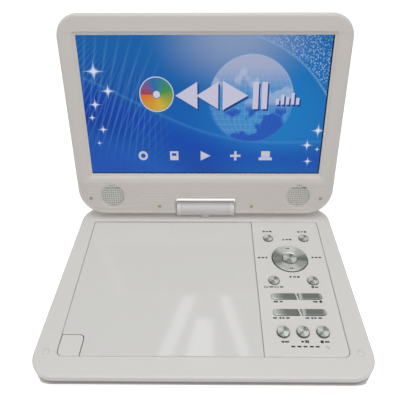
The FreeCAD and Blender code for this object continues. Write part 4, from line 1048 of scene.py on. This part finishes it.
def relief():
    """Faint raised line that arches over the three low keys."""
    reach, points = 7.4, []
    start, end = 55.2, 101.0
    swing = math.radians(26)
    for name in ("back", "play", "stop"):
        across, along = middle_of(name + "_button")
        for step in range(13):
            angle = math.pi - swing - (math.pi - 2 * swing) * step / 12
            points.append(Vector((across + reach * math.cos(angle), along + reach * math.sin(angle))))
    height = points[0].y
    points = [Vector((start, height - 1.0)), *points, Vector((end, height - 1.0))]
    half = 0.17
    upper, lower = [], []
    for index, point in enumerate(points):
        before = points[max(0, index - 1)]
        after = points[min(len(points) - 1, index + 1)]
        run = (after - before).normalized()
        side = Vector((-run.y, run.x)) * half
        upper.append(point + side)
        lower.append(point - side)
    outline = lower + upper[::-1]
    return plate(wall(outline, (0, COVER_TOP - 0.05), (0, COVER_TOP + 0.07)))


def base_pieces():
    piece("top_frame", [top_frame()], BASE, "base", white_shell, ["top_case"])
    piece("disc_cover_lid", disc_cover(), BASE, "disc_cover", gloss_lid, ["disc_lid"])
    piece("key_panel", key_panel(), BASE, "base", panel_white, ["control_panel"])
    piece("release_key", release(), BASE, "open_key", panel_white, ["open_button"])
    piece("key_signs", panel_marks(), BASE, "base", ink)
    piece("key_relief", [relief()], BASE, "base", panel_white)
    for name in ROUND_KEYS:
        across, along, radius = key_place(name + "_button")[:3]
        face = spun_silver_painted_sheen(name + "_silver", across, along, 3.0, radius, 1.04)
        piece(name + "_key_cap", [round_button(name)], BASE, name, face, [name + "_button"])
    ring_silver = spun_silver_painted_sheen("pad_silver", *PAD_AT, -1.45, PAD_REACH, 1.04)
    piece("pad_face", [pad_ring()], BASE, "pad", ring_silver, ["direction_pad"])
    piece("pad_signs", pad_marks(), BASE, "pad", ink)
    middle_silver = spun_silver_painted_sheen("middle_silver", *PAD_AT, 2.4, MIDDLE_REACH)
    piece("middle_key", [middle_button()], BASE, "enter", middle_silver, ["enter_button"])
    for name, side in BARS:
        piece(name + "_bar", bar_button(name, side), BASE, name, bar_silver, [name + "_key"])
    for side, end in ((-1, "left"), (1, "right")):
        piece("base_bumper_" + end, [base_bumper(side)], BASE, "base", bumper_white,
              ["base_bumpers"])
        piece("barrel_cap_" + end, [cap_ring(side)], BASE, "swivel", white_shell,
              ["hinge_end_caps"])
    piece("status_window", [status_window()], BASE, "base", status_glow, ["status_lens"])


screen_pieces()
base_pieces()


# ---- Finishes of the fixed parts that stay ----

CARRIED = {
    white_shell: ("lid_rear_cover",),
    barrel_white: ("hinge_cover",),
    tub_painted_shade: ("bottom_case",),
    inner_white: ("disc_tray", "lcd_frame", "drive_chassis", "pickup_sled", "lid_latch", "pad_pivot"),
    steel: ("guide_rods", "spindle_rotor", "spindle_stator", "case_screws", "lid_screws", "tilt_shafts",
            "tilt_yoke", "swivel_column", "hinge_bracket", "lid_brackets", "disc_lid_pins", "sled_motor",
            "motor_pinion"),
    gear_white: ("feed_gear",),
    dark_rubber: ("drive_dampers",),
    feet_rubber: ("rubber_feet",),
    port_metal: ("usb_port", "card_slot"),
    port_black: ("dc_jack", "audio_jacks", "turntable_hub", "power_knob"),
    board_green: ("main_board", "key_board"),
    wrap_blue: ("battery_pack",),
    speaker_dark: ("speakers",),
    pickup_glass: ("objective_lens",),
}
for finish, nodes in CARRIED.items():
    for node in nodes:
        shown = frame["nodes"][node]
        shown.data.materials.clear()
        shown.data.materials.append(finish.material)


# ---- Camera, light and floor ----

def camera():
    """The viewer's eye, in front of the player and above it."""
    pitch, yaw, roll = (math.radians(angle) for angle in (38.983, 0.590, -0.260))
    eye = bpy.data.objects.new("eye", bpy.data.cameras.new("eye"))
    eye.data.sensor_width = 36
    eye.data.lens = 34.45
    eye.data.clip_start = 0.01
    tip = Matrix.Rotation(math.pi / 2 - pitch, 4, "X")
    turn = Matrix.Rotation(yaw, 4, "Z") @ tip @ Matrix.Rotation(roll, 4, "Z")
    eye.matrix_world = Matrix.Translation(Vector((5.787, -256.996, 291.664)) * MM) @ turn
    bpy.context.scene.collection.objects.link(eye)
    bpy.context.scene.camera = eye


def lamp(name, place, aim, width, depth, power):
    """A soft flat light that faces a point, in metres."""
    data = bpy.data.lights.new(name, "AREA")
    data.shape = "RECTANGLE"
    data.size = width
    data.size_y = depth
    data.energy = power
    light = bpy.data.objects.new(name, data)
    light.location = place
    light.rotation_euler = (Vector(aim) - Vector(place)).to_track_quat("-Z", "Y").to_euler()
    bpy.context.scene.collection.objects.link(light)
    return light


# Narrow overhead strips that the disc lid mirrors: name, near end, far end, width, power
STRIPS = (
    ("strip_left", (-0.145, 0.40), (-0.050, 0.72), 0.045, 0.075),
    ("strip_middle_left", (-0.062, 0.38), (-0.022, 0.56), 0.040, 0.040),
    ("strip_middle_right", (-0.008, 0.38), (-0.012, 0.56), 0.050, 0.045),
    ("strip_right", (0.118, 0.40), (0.034, 0.74), 0.036, 0.060),
    ("strip_back", (-0.010, 0.92), (-0.010, 0.98), 0.80, 0.16),
)


def studio():
    """A pale floor and a soft studio: light from above and in front, and little from below."""
    world = bpy.data.worlds.new("studio")
    bpy.context.scene.world = world
    world.use_nodes = True
    sky = world.node_tree.nodes["Background"]
    sky.inputs["Color"].default_value = (1.0, 0.985, 0.97, 1)
    sky.inputs["Strength"].default_value = 0.34
    lamp("overhead", (0, -0.05, 1.5), (0, 0, 0), 1.5, 1.2, 8.8)
    lamp("front", (0.1, -1.3, 1.35), (0, 0.02, 0.05), 1.6, 0.9, 9.0)
    for name, near, far, width, power in STRIPS:
        middle = (Vector(near) + Vector(far)) / 2
        strip = lamp(name, (*middle, 0.9), (*middle, 0), width, (Vector(far) - Vector(near)).length, power)
        strip.rotation_euler = (0, 0, math.atan2(near[0] - far[0], far[1] - near[1]))
    pale = Finish("pale_floor", (0.9, 0.9, 0.9), {"Roughness": 0.9})
    pale.tint(pale.noise(300), 0.01)
    pale.set("Emission Color", (1, 1, 1, 1))
    pale.set("Emission Strength", 0.62)
    sheet = bpy.data.meshes.new("floor")
    sheet.from_pydata([(-4, -3, 0), (4, -3, 0), (4, 5, 0), (-4, 5, 0)], [], [(0, 1, 2, 3)])
    sheet.materials.append(pale.material)
    floor = bpy.data.objects.new("floor", sheet)
    floor.visible_diffuse = False
    bpy.context.scene.collection.objects.link(floor)


camera()
studio()
bpy.context.scene.view_settings.view_transform = "Standard"
